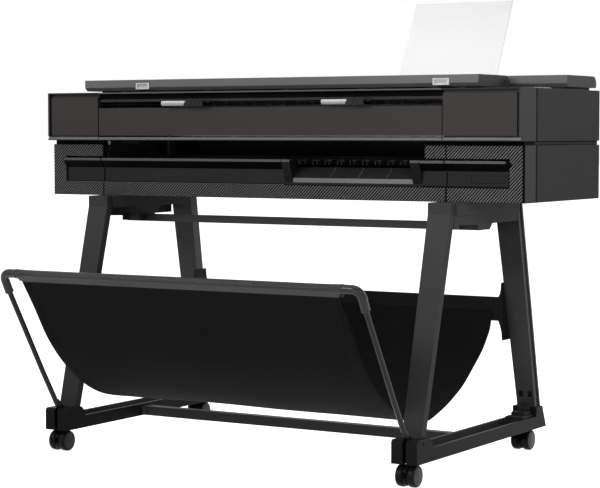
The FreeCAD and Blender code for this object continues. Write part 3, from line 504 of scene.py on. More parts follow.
# %% Second tones, most of them painted light and shade
def tone(node, material, chosen):
    """Give some faces of a CAD piece another finish; chosen gets a face's centre and normal, in metres."""
    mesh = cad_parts[node].data
    if material.name not in mesh.materials:
        mesh.materials.append(material)
    index = mesh.materials.find(material.name)
    count = 0
    for face in mesh.polygons:
        if chosen(face.center, face.normal):
            face.material_index = index
            count += 1
    return count


upper_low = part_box("front_ledge")[0].z
lower_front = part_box("lower_band")[0].y
cover_top = 0.745
# The front faces of the lower covers are painted black, a painted shade on the ground between the ribs; the
# faces above them at the waist are a black joint.
for node in ("lower_cover_left", "lower_cover_right", "lower_band"):
    tone(node, deep_black, lambda c, n: n.y < -0.9 and c.y < lower_front + 0.001)
    tone(node, deep_black, lambda c, n: c.z > cover_top + 0.0002)
for node in ("side_panel_left", "side_panel_right"):
    tone(node, side_painted_shade_grey, lambda c, n: cover_top - 0.001 < c.z < upper_low + 0.001)
brow_back = -0.0171
# The brow under the deck's front edge and the gap under the lid are painted black: painted shade.
tone("top_deck", deep_black, lambda c, n: brow_back - 0.001 < c.y < 0.05 and 0.85 < c.z < 0.8706)
tone("top_deck", deep_black, lambda c, n: 0.8741 < c.z < 0.8799 and c.y < 0.195)
# The deck's front faces take a lighter grey: a painted highlight.
tone("top_deck", painted_edge_highlight, lambda c, n: n.y < -0.9 and c.y < -0.03)
# The hinge lugs above the deck, which sit in shade, are painted the lighter slab-end grey: painted light.
tone("top_deck", shade_and_highlight_grey, lambda c, n: c.z > 0.8805)
# The chamfers that face up and forward are painted the light slab grey: a painted highlight.
for node in ("front_ledge", "end_cap_left", "end_cap_right"):
    tone(node, slab_grey, lambda c, n: n.y < -0.3 and n.z > 0.3 and c.z < 0.77)
for node in ("end_cap_left", "end_cap_right"):
    tone(node, trim_black, lambda c, n: -0.0245 < c.y < 0.0 and n.y < -0.9)
# The ends of the lid and the roll cover take the darker copy of the slab grey: painted shade.
for node in ("scanner_lid", "roll_cover"):
    tone(node, shade_and_highlight_grey, lambda c, n: abs(n.x) > 0.45)
# The channel in each foot keeps an ordinary stand coat; the rest of the foot has the darker painted-shade
# copy.
tone("feet", rear_coat, lambda c, n: abs(abs(c.x) - 0.479) < 0.0245 and -0.151 < c.y < 0.381
     and 0.0595 < c.z < 0.0815)
ramp_low, ramp_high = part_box("output_ramp")
# The ramp's front faces keep its grey; its other faces, the slope under the lip, take a darker copy: painted
# shade.
tone("output_ramp", ramp_grey, lambda c, n: ramp_low.x + 0.023 < c.x < ramp_high.x - 0.024 and n.y < -0.9)
tone("output_ramp", ramp_painted_shade, lambda c, n: ramp_low.x + 0.023 < c.x < ramp_high.x - 0.024 and n.y > -0.9)
tone("output_ramp", lip_grey, lambda c, n: c.z > 0.7042 and (n.y < -0.9 or n.z > 0.9))
print("second tones given")

# %% [markdown]
# A few places in the covers are wanted more than once: the two joints between the covers, the ends of the
# paper ramp, and the ends of the bright blades in front of the scanner. They come from the CAD boxes where
# a box shows them.

# %% Shared places
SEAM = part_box("centre_front_panel")[0].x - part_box("door_left")[1].x
SPLIT_LEFT = (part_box("centre_front_panel")[0].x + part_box("door_left")[1].x) / 2
SPLIT_RIGHT = (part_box("centre_front_panel")[1].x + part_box("door_right")[0].x) / 2
RAMP_LEFT, RAMP_RIGHT = ramp_low.x, ramp_high.x
RAMP_LINES = (0.156, 0.231, 0.306)
BRIGHT_ENDS = {"left": -0.222, "right": 0.229}
print("joints at", round(SPLIT_LEFT, 4), round(SPLIT_RIGHT, 4))

# %% [markdown]
# Pieces that CAD leaves out are made in mesh code. Most are small mouldings with bevelled edges, so one
# helper adds a bevelled block to a bmesh and another turns a finished bmesh into a piece that rides on a
# body, with a finish and a material slot.


# %% Modelling helpers
def piece_from(name, bm, material, body):
    """A bmesh as a piece of the machine that moves with a body."""
    mesh = bpy.data.meshes.new(name)
    bmesh.ops.recalc_face_normals(bm, faces=bm.faces)
    bm.to_mesh(mesh)
    bm.free()
    mesh.materials.append(material)
    thing = bpy.data.objects.new(name, mesh)
    bpy.context.scene.collection.objects.link(thing)
    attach(thing, body)
    return thing


def add_block(bm, low, high, bevel=0.0006):
    """A bevelled block between two corners."""
    made = bmesh.ops.create_cube(bm, size=1.0)["verts"]
    for vert in made:
        vert.co = Vector([low[i] + (vert.co[i] + 0.5) * (high[i] - low[i]) for i in range(3)])
    if bevel:
        rims = list({edge for vert in made for edge in vert.link_edges})
        bmesh.ops.bevel(bm, geom=rims, offset=bevel, segments=2, affect="EDGES", clamp_overlap=True)


def add_turned(bm, centre, axis, profile, steps=48):
    """A turned shape: profile is (distance along the axis, radius) from one end to the other."""
    along = Vector(axis).normalized()
    side = along.orthogonal().normalized()
    other = along.cross(side)
    rings = []
    for distance, radius in profile:
        ring = []
        for step in range(steps):
            angle = math.tau * step / steps
            out = side * math.cos(angle) + other * math.sin(angle)
            ring.append(bm.verts.new(Vector(centre) + along * distance + out * radius))
        rings.append(ring)
    for first, second in zip(rings, rings[1:]):
        for step in range(steps):
            after = (step + 1) % steps
            bm.faces.new((first[step], first[after], second[after], second[step]))
    bm.faces.new(rings[0])
    bm.faces.new(list(reversed(rings[-1])))


def smooth(thing):
    """Shade a piece smoothly, but keep its sharp edges."""
    for face in thing.data.polygons:
        face.use_smooth = True
    thing.data.set_sharp_from_angle(angle=math.radians(35))


# %% [markdown]
# The lower cover is framed by a ribbed surround: fine bars that lean like a slash, proud of a black ground.
# The bars are a light grey, a painted highlight on their faces, and the black ground between them is painted
# shade.
# A bump map would look flat from the side, so every bar is real. Each bar is the part of a leaning strip
# that lies inside a rectangle, which we find by clipping the rectangle against the strip's two edges.


# %% Ribbed surround
def clipped(corners, keep):
    """The part of a convex outline where keep(point) is at least 0; keep must be linear."""
    result = []
    for start, end in zip(corners, corners[1:] + corners[:1]):
        at_start, at_end = keep(start), keep(end)
        if at_start >= 0:
            result.append(start)
        if (at_start >= 0) != (at_end >= 0):
            share = at_start / (at_start - at_end)
            result.append((start[0] + (end[0] - start[0]) * share, start[1] + (end[1] - start[1]) * share))
    return result


def add_ribs(bm, left, right, low, high, pitch=0.008, width=0.0043, proud=0.0013):
    """Leaning bars inside a rectangle of the front; returns how many."""
    count = 0
    number = math.floor((left - high) / pitch)
    while number * pitch < right - low:
        lean = number * pitch
        bar = [(left, low), (right, low), (right, high), (left, high)]
        bar = clipped(bar, lambda p: p[0] - p[1] - lean)
        bar = clipped(bar, lambda p: lean + width - (p[0] - p[1])) if len(bar) > 2 else bar
        if len(bar) > 2:
            middle = (sum(p[0] for p in bar) / len(bar), sum(p[1] for p in bar) / len(bar))
            back = [bm.verts.new((p[0], lower_front + 0.0004, p[1])) for p in bar]
            front = []
            for p in bar:
                towards = 0.0004 if p[0] - p[1] > lean + width / 2 else -0.0004
                front.append(bm.verts.new((p[0] - towards, lower_front - proud, p[1] + towards * 0.5)))
            bm.faces.new(front)
            bm.faces.new(list(reversed(back)))
            for i in range(len(bar)):
                j = (i + 1) % len(bar)
                bm.faces.new((back[i], back[j], front[j], front[i]))
            count += 1
        number += 1
    return count


body_low, body_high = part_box("lower_cover_left")[0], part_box("lower_cover_right")[1]
recess_low, recess_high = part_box("recess_panel")
band_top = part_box("lower_band")[1].z
seam_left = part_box("lower_band")[0].x
seam_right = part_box("lower_band")[1].x
exit_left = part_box("lower_cover_left")[1].x
exit_right = 0.409
upper_band = 0.7145
rim = 0.0006
recess_rim = 0.0022
corner_rim = 0.0062
bm = bmesh.new()
ribs = 0
for left, right, low, high in (
    (body_low.x + rim, recess_low.x - rim, body_low.z + rim, cover_top - rim),
    (recess_low.x - rim, exit_left - rim, upper_band + rim, cover_top - rim),
    (recess_low.x - rim, seam_left - rim, body_low.z + rim, band_top - recess_rim),
    (seam_left + rim, seam_right - rim, body_low.z + rim, band_top - recess_rim),
    (seam_right + 2 * rim, recess_high.x + recess_rim, body_low.z + rim, band_top - recess_rim),
    (exit_right + rim, seam_right - rim, upper_band + rim, cover_top - rim),
    (seam_right + 2 * rim, recess_high.x + recess_rim, upper_band + rim, cover_top - rim),
    (recess_high.x + recess_rim, body_high.x - corner_rim, body_low.z + rim, cover_top - rim),
):
    ribs += add_ribs(bm, left, right, low, high)
# The bars are a light grey: a painted highlight on their faces.
piece_from("ribbed_surround", bm, highlight_and_mark_grey, PRINTER)
print(ribs, "bars in the ribbed surround")

# %% [markdown]
# On the right of the recess is a small outlined plate, left blank. A maker would put a name there; this
# machine has none. The outline is a hair-thin raised frame.

# %% Blank plate
bm = bmesh.new()
plate_low, plate_high = Vector((0.5245, 0, 0.6603)), Vector((0.610, 0, 0.6779))
face_y = recess_low.y
line = 0.0007
for low, high in (
    ((plate_low.x, plate_low.z), (plate_high.x, plate_low.z + line)),
    ((plate_low.x, plate_high.z - line), (plate_high.x, plate_high.z)),
    ((plate_low.x, plate_low.z), (plate_low.x + line, plate_high.z)),
    ((plate_high.x - line, plate_low.z), (plate_high.x, plate_high.z)),
):
    add_block(bm, (low[0], face_y - 0.0004, low[1]), (high[0], face_y + 0.0002, high[1]), bevel=0)
piece_from("blank_plate_outline", bm, deep_black, PRINTER)
print("plate", round((plate_high - plate_low).length, 3), "m across its corners")

# %% [markdown]
# ## The paper exit
# Under the exit opening runs a lip in four lengths. Its front is a bright narrow edge, and under it the
# moulding slopes back into the recess. The outer ends are cut back a little. We draw the section once and
# extrude it between two ends; faces that look down or to the side are painted black, a painted shade under
# the lip, and the rest keep the lip's grey.


# %% Section helper
def add_section(bm, outline, left, right, finish_of=None):
    """Extrude a closed (y, z) outline along X; left and right give the X of each end for a point's y."""
    ends = [[bm.verts.new((end(y), y, z)) for y, z in outline] for end in (left, right)]
    made = [bm.faces.new(ends[0]), bm.faces.new(ends[1][::-1])]
    for i in range(len(outline)):
        j = (i + 1) % len(outline)
        made.append(bm.faces.new((ends[0][j], ends[0][i], ends[1][i], ends[1][j])))
    bmesh.ops.recalc_face_normals(bm, faces=made)
    if finish_of:
        for face in made:
            face.material_index = finish_of(face.normal)


# %% Lip
lip_low, lip_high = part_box("output_lip")
front, back = lip_low.y, lip_high.y
recess_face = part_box("recess_panel")[0].y
slope_foot = lip_low.z - 0.0165
lip_outline = [
    (front, lip_high.z - 0.0012), (front + 0.0004, lip_high.z - 0.0004), (front + 0.0014, lip_high.z),
    (back, lip_high.z), (back, lip_high.z - 0.003), (recess_face + 0.001, lip_high.z - 0.003),
    (recess_face - 0.0002, slope_foot), (front + 0.0016, lip_low.z + 0.0002),
    (front + 0.0003, lip_low.z + 0.0012),
]
mitre = 0.002


def mitred(outer):
    """An end that leans back towards the middle of the machine at the front."""
    sign = 1 if outer > 0 else -1
    return lambda y: outer - sign * mitre * max(0.0, min(1.0, (recess_face - y) / (recess_face - front)))


lip_ends = [
    (mitred(lip_low.x), lambda y: SPLIT_LEFT - SEAM / 2),
    (lambda y: SPLIT_LEFT + SEAM / 2, lambda y: RAMP_LEFT - SEAM / 2),
    (lambda y: RAMP_RIGHT + SEAM / 2, lambda y: SPLIT_RIGHT - SEAM / 2),
    (lambda y: SPLIT_RIGHT + SEAM / 2, mitred(lip_high.x)),
]
bm = bmesh.new()
# Faces that look down or to the side take the second finish, black: painted shade under the lip.
for left, right in lip_ends:
    add_section(bm, lip_outline, left, right, lambda n: 1 if n.z < -0.3 or abs(n.x) > 0.3 else 0)
lip = piece_from("exit_lip", bm, lip_grey, PRINTER)
lip.data.materials.append(deep_black)
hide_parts("output_lip")
print("lip in", len(lip_ends), "lengths")

# %% [markdown]
# At each end of the lip the moulding runs out over the face of the cover to a low point. This end is the
# convex hull of a few corners: the lip's own section on the inside, and the point on the outside.

# %% Lip end points
bm = bmesh.new()
cover_face = lower_front - 0.0016
reach, end_back = 0.009, 0.0005
foot_share = (cover_face - front) / (recess_face - front)
end_foot = lip_low.z + (slope_foot - lip_low.z) * foot_share
for outer in (lip_low.x, lip_high.x):
    sign = 1 if outer > 0 else -1
    corners = [(outer - sign * 0.006, y, z) for y, z in (
        (front + 0.0004, lip_high.z - 0.0006), (front + 0.0006, lip_low.z + 0.001),
        (cover_face, lip_high.z - 0.0002), (cover_face, end_foot))]
    corners += [
        (outer - sign * end_back, front + 0.0006, z) for z in (lip_high.z - 0.0008, lip_low.z + 0.001)
    ]
    corners += [(outer, cover_face, lip_high.z - 0.0002), (outer, cover_face, end_foot),
                (outer + sign * reach, cover_face, lip_low.z)]
    hull = bmesh.ops.convex_hull(bm, input=[bm.verts.new(corner) for corner in corners])
    bmesh.ops.delete(bm, geom=[v for v in hull["geom_interior"] if isinstance(v, bmesh.types.BMVert)],
                     context="VERTS")
# The end points are black: painted shade, like the lip's underside.
piece_from("lip_end_points", bm, deep_black, PRINTER)
print("lip end points reach", reach, "m past the recess")

# %% [markdown]
# The covers are separate mouldings, so thin black seams cross the recess below each split in the lip, and a
# wider one runs round the recess. On the real machine a seam is a gap; here the panel behind is one piece,
# so each seam is a hair-thin black strip.

# %% Recess seams
bm = bmesh.new()
panel_low, panel_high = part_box("recess_panel")
strip = 0.0002
for x, width in ((SPLIT_LEFT, 0.0044), (SPLIT_RIGHT, 0.0034)):
    add_block(bm, (x - width / 2, recess_face - strip, panel_low.z), (x + width / 2, recess_face, slope_foot),
              0)
for low_x, high_x in ((panel_low.x, RAMP_LEFT), (RAMP_RIGHT, panel_high.x)):
    add_block(bm, (low_x, recess_face - strip, panel_low.z), (high_x, recess_face, panel_low.z + 0.0016), 0)
for x in (panel_low.x, panel_high.x - 0.0022):
    add_block(bm, (x, recess_face - strip, panel_low.z), (x + 0.0022, recess_face, slope_foot), 0)
seam_front = lower_front - 0.0016
for x in (SPLIT_LEFT, SPLIT_RIGHT):
    add_block(bm, (x - 0.0015, seam_front, body_low.z), (x + 0.0015, lower_front, band_top), 0)
add_block(bm, (SPLIT_RIGHT - 0.0008, seam_front, upper_band), (SPLIT_RIGHT + 0.0008, lower_front, cover_top),
          0)
piece_from("recess_seams", bm, deep_black, PRINTER)
# A thin light strip along the bottom and the left edge of the recess is a painted highlight on its rounded
# rim.
bm = bmesh.new()
rim_face = lower_front - 0.0012
add_block(bm, (panel_low.x, rim_face, band_top - 0.0016), (RAMP_LEFT, lower_front, band_top - 0.0004), 0.0002)
add_block(bm, (panel_low.x - 0.0014, rim_face, band_top), (panel_low.x - 0.0004, lower_front, 0.69), 0.0002)
piece_from("recess_rim", bm, highlight_and_mark_grey, PRINTER)
print("recess seams and rim made")

# %% [markdown]
# Down each side the end cap meets the side panel in an upright joint, and the waist between the upper and
# the lower panel has a dark line along both its edges. The outer edge of each end cap is a thin strip of a
# lighter grey: a painted highlight where its rounded corner would catch the light.

# %% Joint lines
bm = bmesh.new()
cap_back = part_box("end_cap_right")[1].y
side_front, side_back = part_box("side_panel_right")[0].y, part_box("side_panel_right")[1].y
cap_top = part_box("end_cap_right")[1].z
outer = body_high.x
waist_face = 0.653
for side in (-1, 1):
    near, far = sorted((side * (outer - 0.0025), side * (outer + 0.0002)))
    for low_z, high_z in ((body_low.z, cover_top), (upper_low, cap_top)):
        add_block(bm, (near, cap_back - 0.0022, low_z), (far, side_front + 0.0022, high_z), 0)
    near, far = sorted((side * waist_face, side * (waist_face + 0.0004)))
    for low_z in (cover_top, upper_low - 0.0022):
        add_block(bm, (near, side_front, low_z), (far, side_back, low_z + 0.0022), 0)
piece_from("joint_lines", bm, deep_black, PRINTER)
# Each end cap's outer front corner gets a thin lighter strip: a painted highlight.
bm = bmesh.new()
cap_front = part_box("end_cap_right")[0].y
for side in (-1, 1):
    near, far = sorted((side * (outer - 0.0024), side * (outer - 0.0002)))
    add_block(bm, (near, cap_front - 0.0003, 0.764), (far, cap_front + 0.001, cap_top - 0.001), 0.0002)
piece_from("corner_edges", bm, shade_and_highlight_grey, PRINTER)
print("joint lines and corner edges made")

# %% [markdown]
# A paper ramp fills the gap in the lip. Raised lines a millimetre wide cross it, so that paper slides over
# them and does not stick, and small toothed wheels hold the sheet down behind it. Each wheel is a thin star
# on a shaft, under a little housing.

# %% Ramp lines and wheel housings
bm = bmesh.new()
plate_low = Vector((recess_face, 0.667))
plate_high = Vector((0.028, 0.692))
slope = (plate_high - plate_low).normalized()
rise = Vector((-slope.y, slope.x))
for x in RAMP_LINES:
    corners = [plate_low + slope * 0.003, plate_high - slope * 0.001]
    section = [corners[0], corners[1], corners[1] + rise * 0.0006, corners[0] + rise * 0.0006]
    add_section(bm, [(p.x, p.y) for p in section], lambda y: x - 0.0005, lambda y: x + 0.0005)
piece_from("ramp_lines", bm, ramp_line_grey, PRINTER)

wheel_low, wheel_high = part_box("star_wheels")
wheel_y, wheel_z = (wheel_low.y + wheel_high.y) / 2, (wheel_low.z + wheel_high.z) / 2
wheel_xs = [wheel_low.x + 0.0015 + 0.034 * i for i in range(9)]
bm = bmesh.new()
for x in wheel_xs:
    add_block(bm, (x - 0.0075, wheel_y + 0.002, wheel_z + 0.0015),
              (x + 0.0075, wheel_y + 0.024, wheel_z + 0.0095), 0.001)
    for side in (-0.0065, 0.004):
        add_block(bm, (x + side, wheel_y - 0.006, wheel_z - 0.002),
                  (x + side + 0.0025, wheel_y + 0.02, wheel_z + 0.008), 0.0006)
piece_from("wheel_housings", bm, trim_black, PRINTER)
print(len(wheel_xs), "housings")

# %% [markdown]
# At the left end of the exit hangs a small pale flag on a dark post. The edge of the sheet moves it, so the
# machine knows that paper is there.

# %% Exit flag
bm = bmesh.new()
add_block(bm, (exit_left + 0.0045, 0.008, 0.7445), (exit_left + 0.0105, 0.011, 0.7540), 0.0004)
piece_from("exit_flag", bm, latch_grey, PRINTER)
bm = bmesh.new()
add_block(bm, (exit_left + 0.0015, 0.008, 0.7137), (exit_left + 0.0065, 0.012, 0.7294), 0.0004)
add_block(bm, (exit_left + 0.0030, 0.0112, 0.7290), (exit_left + 0.0080, 0.014, 0.7545), 0.0004)
piece_from("exit_flag_post", bm, trim_black, PRINTER)
print("flag at the left end of the exit")


# %% [markdown]
# The toothed wheels sit in a row on one shaft. Each is a flat star with pointed teeth, so that it touches the
# fresh print in as few places as it can.

# %% Star wheels
def add_star(bm, centre, half, outer, inner, teeth=20):
    """A toothed disc across X."""
    rings = []
    for x in (centre[0] - half, centre[0] + half):
        ring = []
        for step in range(2 * teeth):
            radius = outer if step % 2 == 0 else inner
            angle = math.tau * step / (2 * teeth)
            ring.append(bm.verts.new((x, centre[1] + radius * math.cos(angle),
                                      centre[2] + radius * math.sin(angle))))
        rings.append(ring)
    bm.faces.new(rings[0])
    bm.faces.new(rings[1][::-1])
    for i in range(2 * teeth):
        j = (i + 1) % (2 * teeth)
        bm.faces.new((rings[0][i], rings[0][j], rings[1][j], rings[1][i]))


bm = bmesh.new()
star_radius = (wheel_high.z - wheel_low.z) / 2
for x in wheel_xs:
    add_star(bm, (x, wheel_y, wheel_z), 0.0004, star_radius, star_radius * 0.84)
    add_turned(bm, (x - 0.0015, wheel_y, wheel_z), (1, 0, 0),
               [(0, 0.0028), (0.0006, 0.0032), (0.0024, 0.0032), (0.003, 0.0028)], 20)
add_turned(bm, (wheel_xs[0] - 0.001, wheel_y, wheel_z), (1, 0, 0),
           [(0, 0.001), (wheel_xs[-1] - wheel_xs[0] + 0.002, 0.001)], 12)
stars = piece_from("star_wheel_set", bm, deep_black, "star_wheels")
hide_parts("star_wheels")
print(len(wheel_xs), "toothed wheels")

# %% [markdown]
# ## Scanner front
# Two deflectors hang in front of the scanner's paper slot. Each is a bright bowed blade with a slanting end
# and a black bracket beside it that carries the hinge. A bowed sheet has a front and a back that follow the
# same arc, so we lay out a small grid for each and join their rims.


# %% Deflectors
def add_blade(bm, left, right, low, high, front, bow, slant, thick=0.0012, columns=6, rows=8):
    """A sheet across X that bows to the front, its right end slanting inwards at the foot."""
    grids = []
    for depth in (0.0, thick):
        grid = []
        for row in range(rows + 1):
            t = row / rows
            z = low + (high - low) * t
            y = front + bow * (2 * t - 1.15) ** 2 + depth
            corner = 0.0012 * (1 - min(1.0, 5 * min(t, 1 - t)))
            first, last = left + corner, right - slant * (1 - t)
            places = [(first + (last - first) * c / columns, y, z) for c in range(columns + 1)]
            grid.append([bm.verts.new(spot) for spot in places])
        grids.append(grid)
    for flip, grid in enumerate(grids):
        for low_row, high_row in zip(grid, grid[1:]):
            for c in range(columns):
                bm.faces.new((low_row[c], low_row[c + 1], high_row[c + 1], high_row[c])[::-1 if flip else 1])
    rim = [(0, c) for c in range(columns)] + [(r, columns) for r in range(rows)]
    rim += [(rows, c) for c in range(columns, 0, -1)] + [(r, 0) for r in range(rows, 0, -1)]
    for (r1, c1), (r2, c2) in zip(rim, rim[1:] + rim[:1]):
        bm.faces.new((grids[0][r2][c2], grids[0][r1][c1], grids[1][r1][c1], grids[1][r2][c2]))


PIVOT = Vector((0, -0.0275, 0.8476))
for side in ("left", "right"):
    node = "deflector_" + side
    low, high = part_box(node)
    bright_end = BRIGHT_ENDS[side]
    bm = bmesh.new()
    add_blade(bm, low.x, bright_end, low.z + 0.0022, high.z - 0.0048, low.y, 0.0018, 0.006)
    blade = piece_from(node + "_blade", bm, blade_steel, node)
    smooth(blade)
    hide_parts(node)
    bm = bmesh.new()
    add_block(bm, (bright_end - 0.004, low.y + 0.0012, low.z), (high.x, low.y + 0.003, high.z - 0.001),
              0.0008)
    add_block(bm, (bright_end + 0.004, low.y + 0.0002, high.z - 0.0032),
              (high.x - 0.0015, low.y + 0.0042, high.z), 0.0009)
    for step in range(3):
        x = bright_end + 0.008 + 0.013 * step
        corners = [(x, low.z + 0.003), (x + 0.003, low.z + 0.002), (x + 0.011, high.z - 0.005),
                   (x + 0.006, high.z - 0.004)]
        faces_y = (low.y + 0.0001, low.y + 0.0014)
        near, far = ([bm.verts.new((cx, y, cz)) for cx, cz in corners] for y in faces_y)
        bm.faces.new(near)
        bm.faces.new(far[::-1])
        for i in range(4):
            bm.faces.new((near[i], far[i], far[(i + 1) % 4], near[(i + 1) % 4]))
    for x in (low.x + 0.006, high.x - 0.011):
        add_block(bm, (x, low.y + 0.0028, 0.8454), (x + 0.005, PIVOT.y + 0.0021, 0.8497), 0.0006)
        add_turned(bm, (x - 0.0004, PIVOT.y, PIVOT.z), (1, 0, 0),
                   [(0, 0.0024), (0.0005, 0.0028), (0.0053, 0.0028), (0.0058, 0.0024)], 20)
    piece_from(node + "_bracket", bm, bracket_black, node)
print("deflectors made")

# %% [markdown]
# The latches at the front of the lid are pale frames round a finger recess. The CAD has their shape, so the
# recess only gets a darker grey: painted shade in the recess. Small rubber bumpers under the lid keep it off
# the deck.

# %% Latch tone and lid bumpers
count = tone("lid_latches", latch_recess_shade, lambda c, n: n.y < -0.9 and c.y > 0.0625)
lid_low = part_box("scanner_lid")[0]
deck_top = 0.874
bm = bmesh.new()
for x, wide in ((-0.505, 0.014), (-0.452, 0.006), (-0.426, 0.014), (-0.250, 0.016), (-0.020, 0.016),
                (0.190, 0.016), (0.380, 0.024), (0.452, 0.016)):
    add_block(bm, (x, lid_low.y + 0.0115, deck_top + 0.0002),
              (x + wide, lid_low.y + 0.0185, lid_low.z - 0.0001), 0.0012)
piece_from("lid_bumpers", bm, rubber_black, "scanner_lid")
print(count, "recess faces toned")

# %% [markdown]
# The touch screen is a dark glass plate in a thin bezel. It shows nothing, because the machine is off.

# %% Touch screen
low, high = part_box("touch_screen")
bm = bmesh.new()
border = 0.0022
for first, last in (
    ((low.x, low.y, high.z), (high.x, low.y + border, high.z + 0.0007)),
    ((low.x, high.y - border, high.z), (high.x, high.y, high.z + 0.0007)),
    ((low.x, low.y + border, high.z), (low.x + border, high.y - border, high.z + 0.0007)),
    ((high.x - border, low.y + border, high.z), (high.x, high.y - border, high.z + 0.0007)),
):
    add_block(bm, first, last, 0.0003)
piece_from("screen_bezel", bm, cover_grey, "touch_screen")
bm = bmesh.new()
add_block(bm, (low.x + 0.009, low.y + 0.009, high.z), (high.x - 0.009, high.y - 0.009, high.z + 0.0003),
          0.0002)
piece_from("screen_display", bm, display_black, "touch_screen")
print("screen", round((high.x - low.x) * 1000), "mm wide")

# %% [markdown]
# ## The cloth basket
# The basket is one long sheet of black cloth. Its front end wraps the tube in a sleeve and is sewn to itself
# just below; from there it hangs under the printer and rises to the rear bar. A cloth simulation could find
# that curve, but the hang is known, so we draw the line in the side view and sweep it across the machine.
# The line starts at the sleeve seam, goes once round the tube and then follows the hang.


# %% The cloth's line
def smooth_line(points, steps=6):
    """A smooth line through points of the side view."""
    line = []
    padded = [points[0]] + points + [points[-1]]
    for before, start, end, after in zip(padded, padded[1:], padded[2:], padded[3:]):
        for step in range(steps):
            t = step / steps
            bend = (2 * before - 5 * start + 4 * end - after) * t ** 2
            swing = (3 * start - before - 3 * end + after) * t ** 3
            line.append(0.5 * (2 * start + (end - before) * t + bend + swing))
    return line + [points[-1]]


hang = [
    (-379, 364), (-328, 287), (-269, 224), (-198, 171), (-137, 141), (-79, 125), (-21, 118), (34, 130),
    (80, 144), (127, 163), (164, 181), (220, 219), (265, 253), (298, 290), (310, 314), (314.5, 344),
]
tube_low, tube_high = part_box("basket_tube")
tube_middle = Vector(((tube_low.y + tube_high.y) / 2, (tube_low.z + tube_high.z) / 2))
sleeve_radius = (tube_high.z - tube_low.z) / 2 + 0.0010
sleeve_seam = Vector((-0.4245, 0.4290))
away = sleeve_seam - tube_middle
lean = math.atan2(away.y, away.x)
opening = math.acos(sleeve_radius / away.length)
turns = 44
cloth_line = [sleeve_seam + Vector((0.0012, 0.0012))]
for step in range(turns + 1):
    angle = lean + opening + (math.tau - 2 * opening) * step / turns
    cloth_line.append(tube_middle + sleeve_radius * Vector((math.cos(angle), math.sin(angle))))
sleeve_end = len(cloth_line)
cloth_line += smooth_line([sleeve_seam] + [Vector((y, z)) / 1000 for y, z in hang])
cloth_run = [0.0]
for before, after in zip(cloth_line, cloth_line[1:]):
    cloth_run.append(cloth_run[-1] + (after - before).length)
print("the cloth is cut", round(cloth_run[-1], 3), "m long")

# %% [markdown]
# Each point of the line has a normal, found from its neighbours, that points to the inside of the basket.
# The sleeve reaches a little over the corner mouldings, and below the seam the cloth narrows to its hemmed
# width. Small waves keep the sheet from looking like bent metal: broad ones in the hang and short gathers
# where the sleeve ends.

# %% The cloth's surface
SLEEVE_HALF, CLOTH_HALF = 0.436, 0.425
cloth_normal = []
for index in range(len(cloth_line)):
    before = cloth_line[max(index - 1, 0)]
    after = cloth_line[min(index + 1, len(cloth_line) - 1)]
    run = (after - before).normalized()
    cloth_normal.append(Vector((-run.y, run.x)))


def cloth_point(index, share, raised):
    """A point of the cloth: share is -1 to 1 across the machine, raised is its height along the normal."""
    past = cloth_run[index] - cloth_run[sleeve_end]
    narrow = min(max(1 + past / 0.012, 0), 1)
    half = SLEEVE_HALF + (CLOTH_HALF - SLEEVE_HALF) * narrow
    x = half * share
    slack = max(0.0, min(1.0, past / 0.12, (cloth_run[-1] - cloth_run[index]) / 0.12))
    wave = 0.0012 * slack * (math.sin(7.1 * x + 3.4 * past + 1.0) + 0.5 * math.sin(17.0 * x - 5.0 * past))
    inward = math.exp(-(half - abs(x)) / 0.03) * (1 - narrow)
    gather = 0.0006 * inward * math.sin(9.0 * cloth_run[index] / sleeve_radius + 60 * x)
    height = raised + wave + gather
    spot = cloth_line[index] + cloth_normal[index] * height
    return Vector((x, spot.x, spot.y))


hem = 0.018
across_shares = [-1 + 2 * step / 56 for step in range(57)]
for near in (0.0015, hem, hem + 0.0015):
    across_shares += [-1 + near / CLOTH_HALF, 1 - near / CLOTH_HALF]
across_shares.sort()
print(len(cloth_line), "by", len(across_shares), "points")

# %% [markdown]
# The mesh has two faces a millimetre or so apart and is closed round its rim, with the hem thicker where
# the edge is folded over. It gets a UV map in metres, so that the weave is the same size everywhere.

# %% Cloth mesh
bm = bmesh.new()
uv = bm.loops.layers.uv.new("cloth")
layers = []
for side in (1, -1):
    rows = []
    for index in range(len(cloth_line)):
        row = []
        for share in across_shares:
            folded = 1.7 if CLOTH_HALF * (1 - abs(share)) <= hem + 0.0001 else 1.0
            vert = bm.verts.new(cloth_point(index, share, side * 0.0005 * folded))
            row.append(vert)
        rows.append(row)
    layers.append(rows)
place_of = {}
for rows in layers:
    for index, row in enumerate(rows):
        for vert, share in zip(row, across_shares):
            place_of[vert] = (CLOTH_HALF * share, cloth_run[index])
faces = []
for side, rows in enumerate(layers):
    for low_row, high_row in zip(rows, rows[1:]):
        for i in range(len(low_row) - 1):
            corners = [low_row[i], low_row[i + 1], high_row[i + 1], high_row[i]]
            faces.append(bm.faces.new(corners if side else corners[::-1]))
upper, lower = layers
for i in range(len(across_shares) - 1):
    faces.append(bm.faces.new((upper[0][i], upper[0][i + 1], lower[0][i + 1], lower[0][i])))
    faces.append(bm.faces.new((upper[-1][i + 1], upper[-1][i], lower[-1][i], lower[-1][i + 1])))
for k in range(len(cloth_line) - 1):
    faces.append(bm.faces.new((upper[k + 1][0], upper[k][0], lower[k][0], lower[k + 1][0])))
    faces.append(bm.faces.new((upper[k][-1], upper[k + 1][-1], lower[k + 1][-1], lower[k][-1])))
for face in faces:
    face.smooth = True
    if all(place_of[vert][1] <= cloth_run[sleeve_end] for vert in face.verts):
        face.material_index = 1
    for loop in face.loops:
        loop[uv].uv = place_of[loop.vert]
bmesh.ops.recalc_face_normals(bm, faces=bm.faces)
mesh = bpy.data.meshes.new("basket_sheet")
bm.to_mesh(mesh)
bm.free()
mesh.materials.append(basket_black)
mesh.materials.append(sleeve_black)
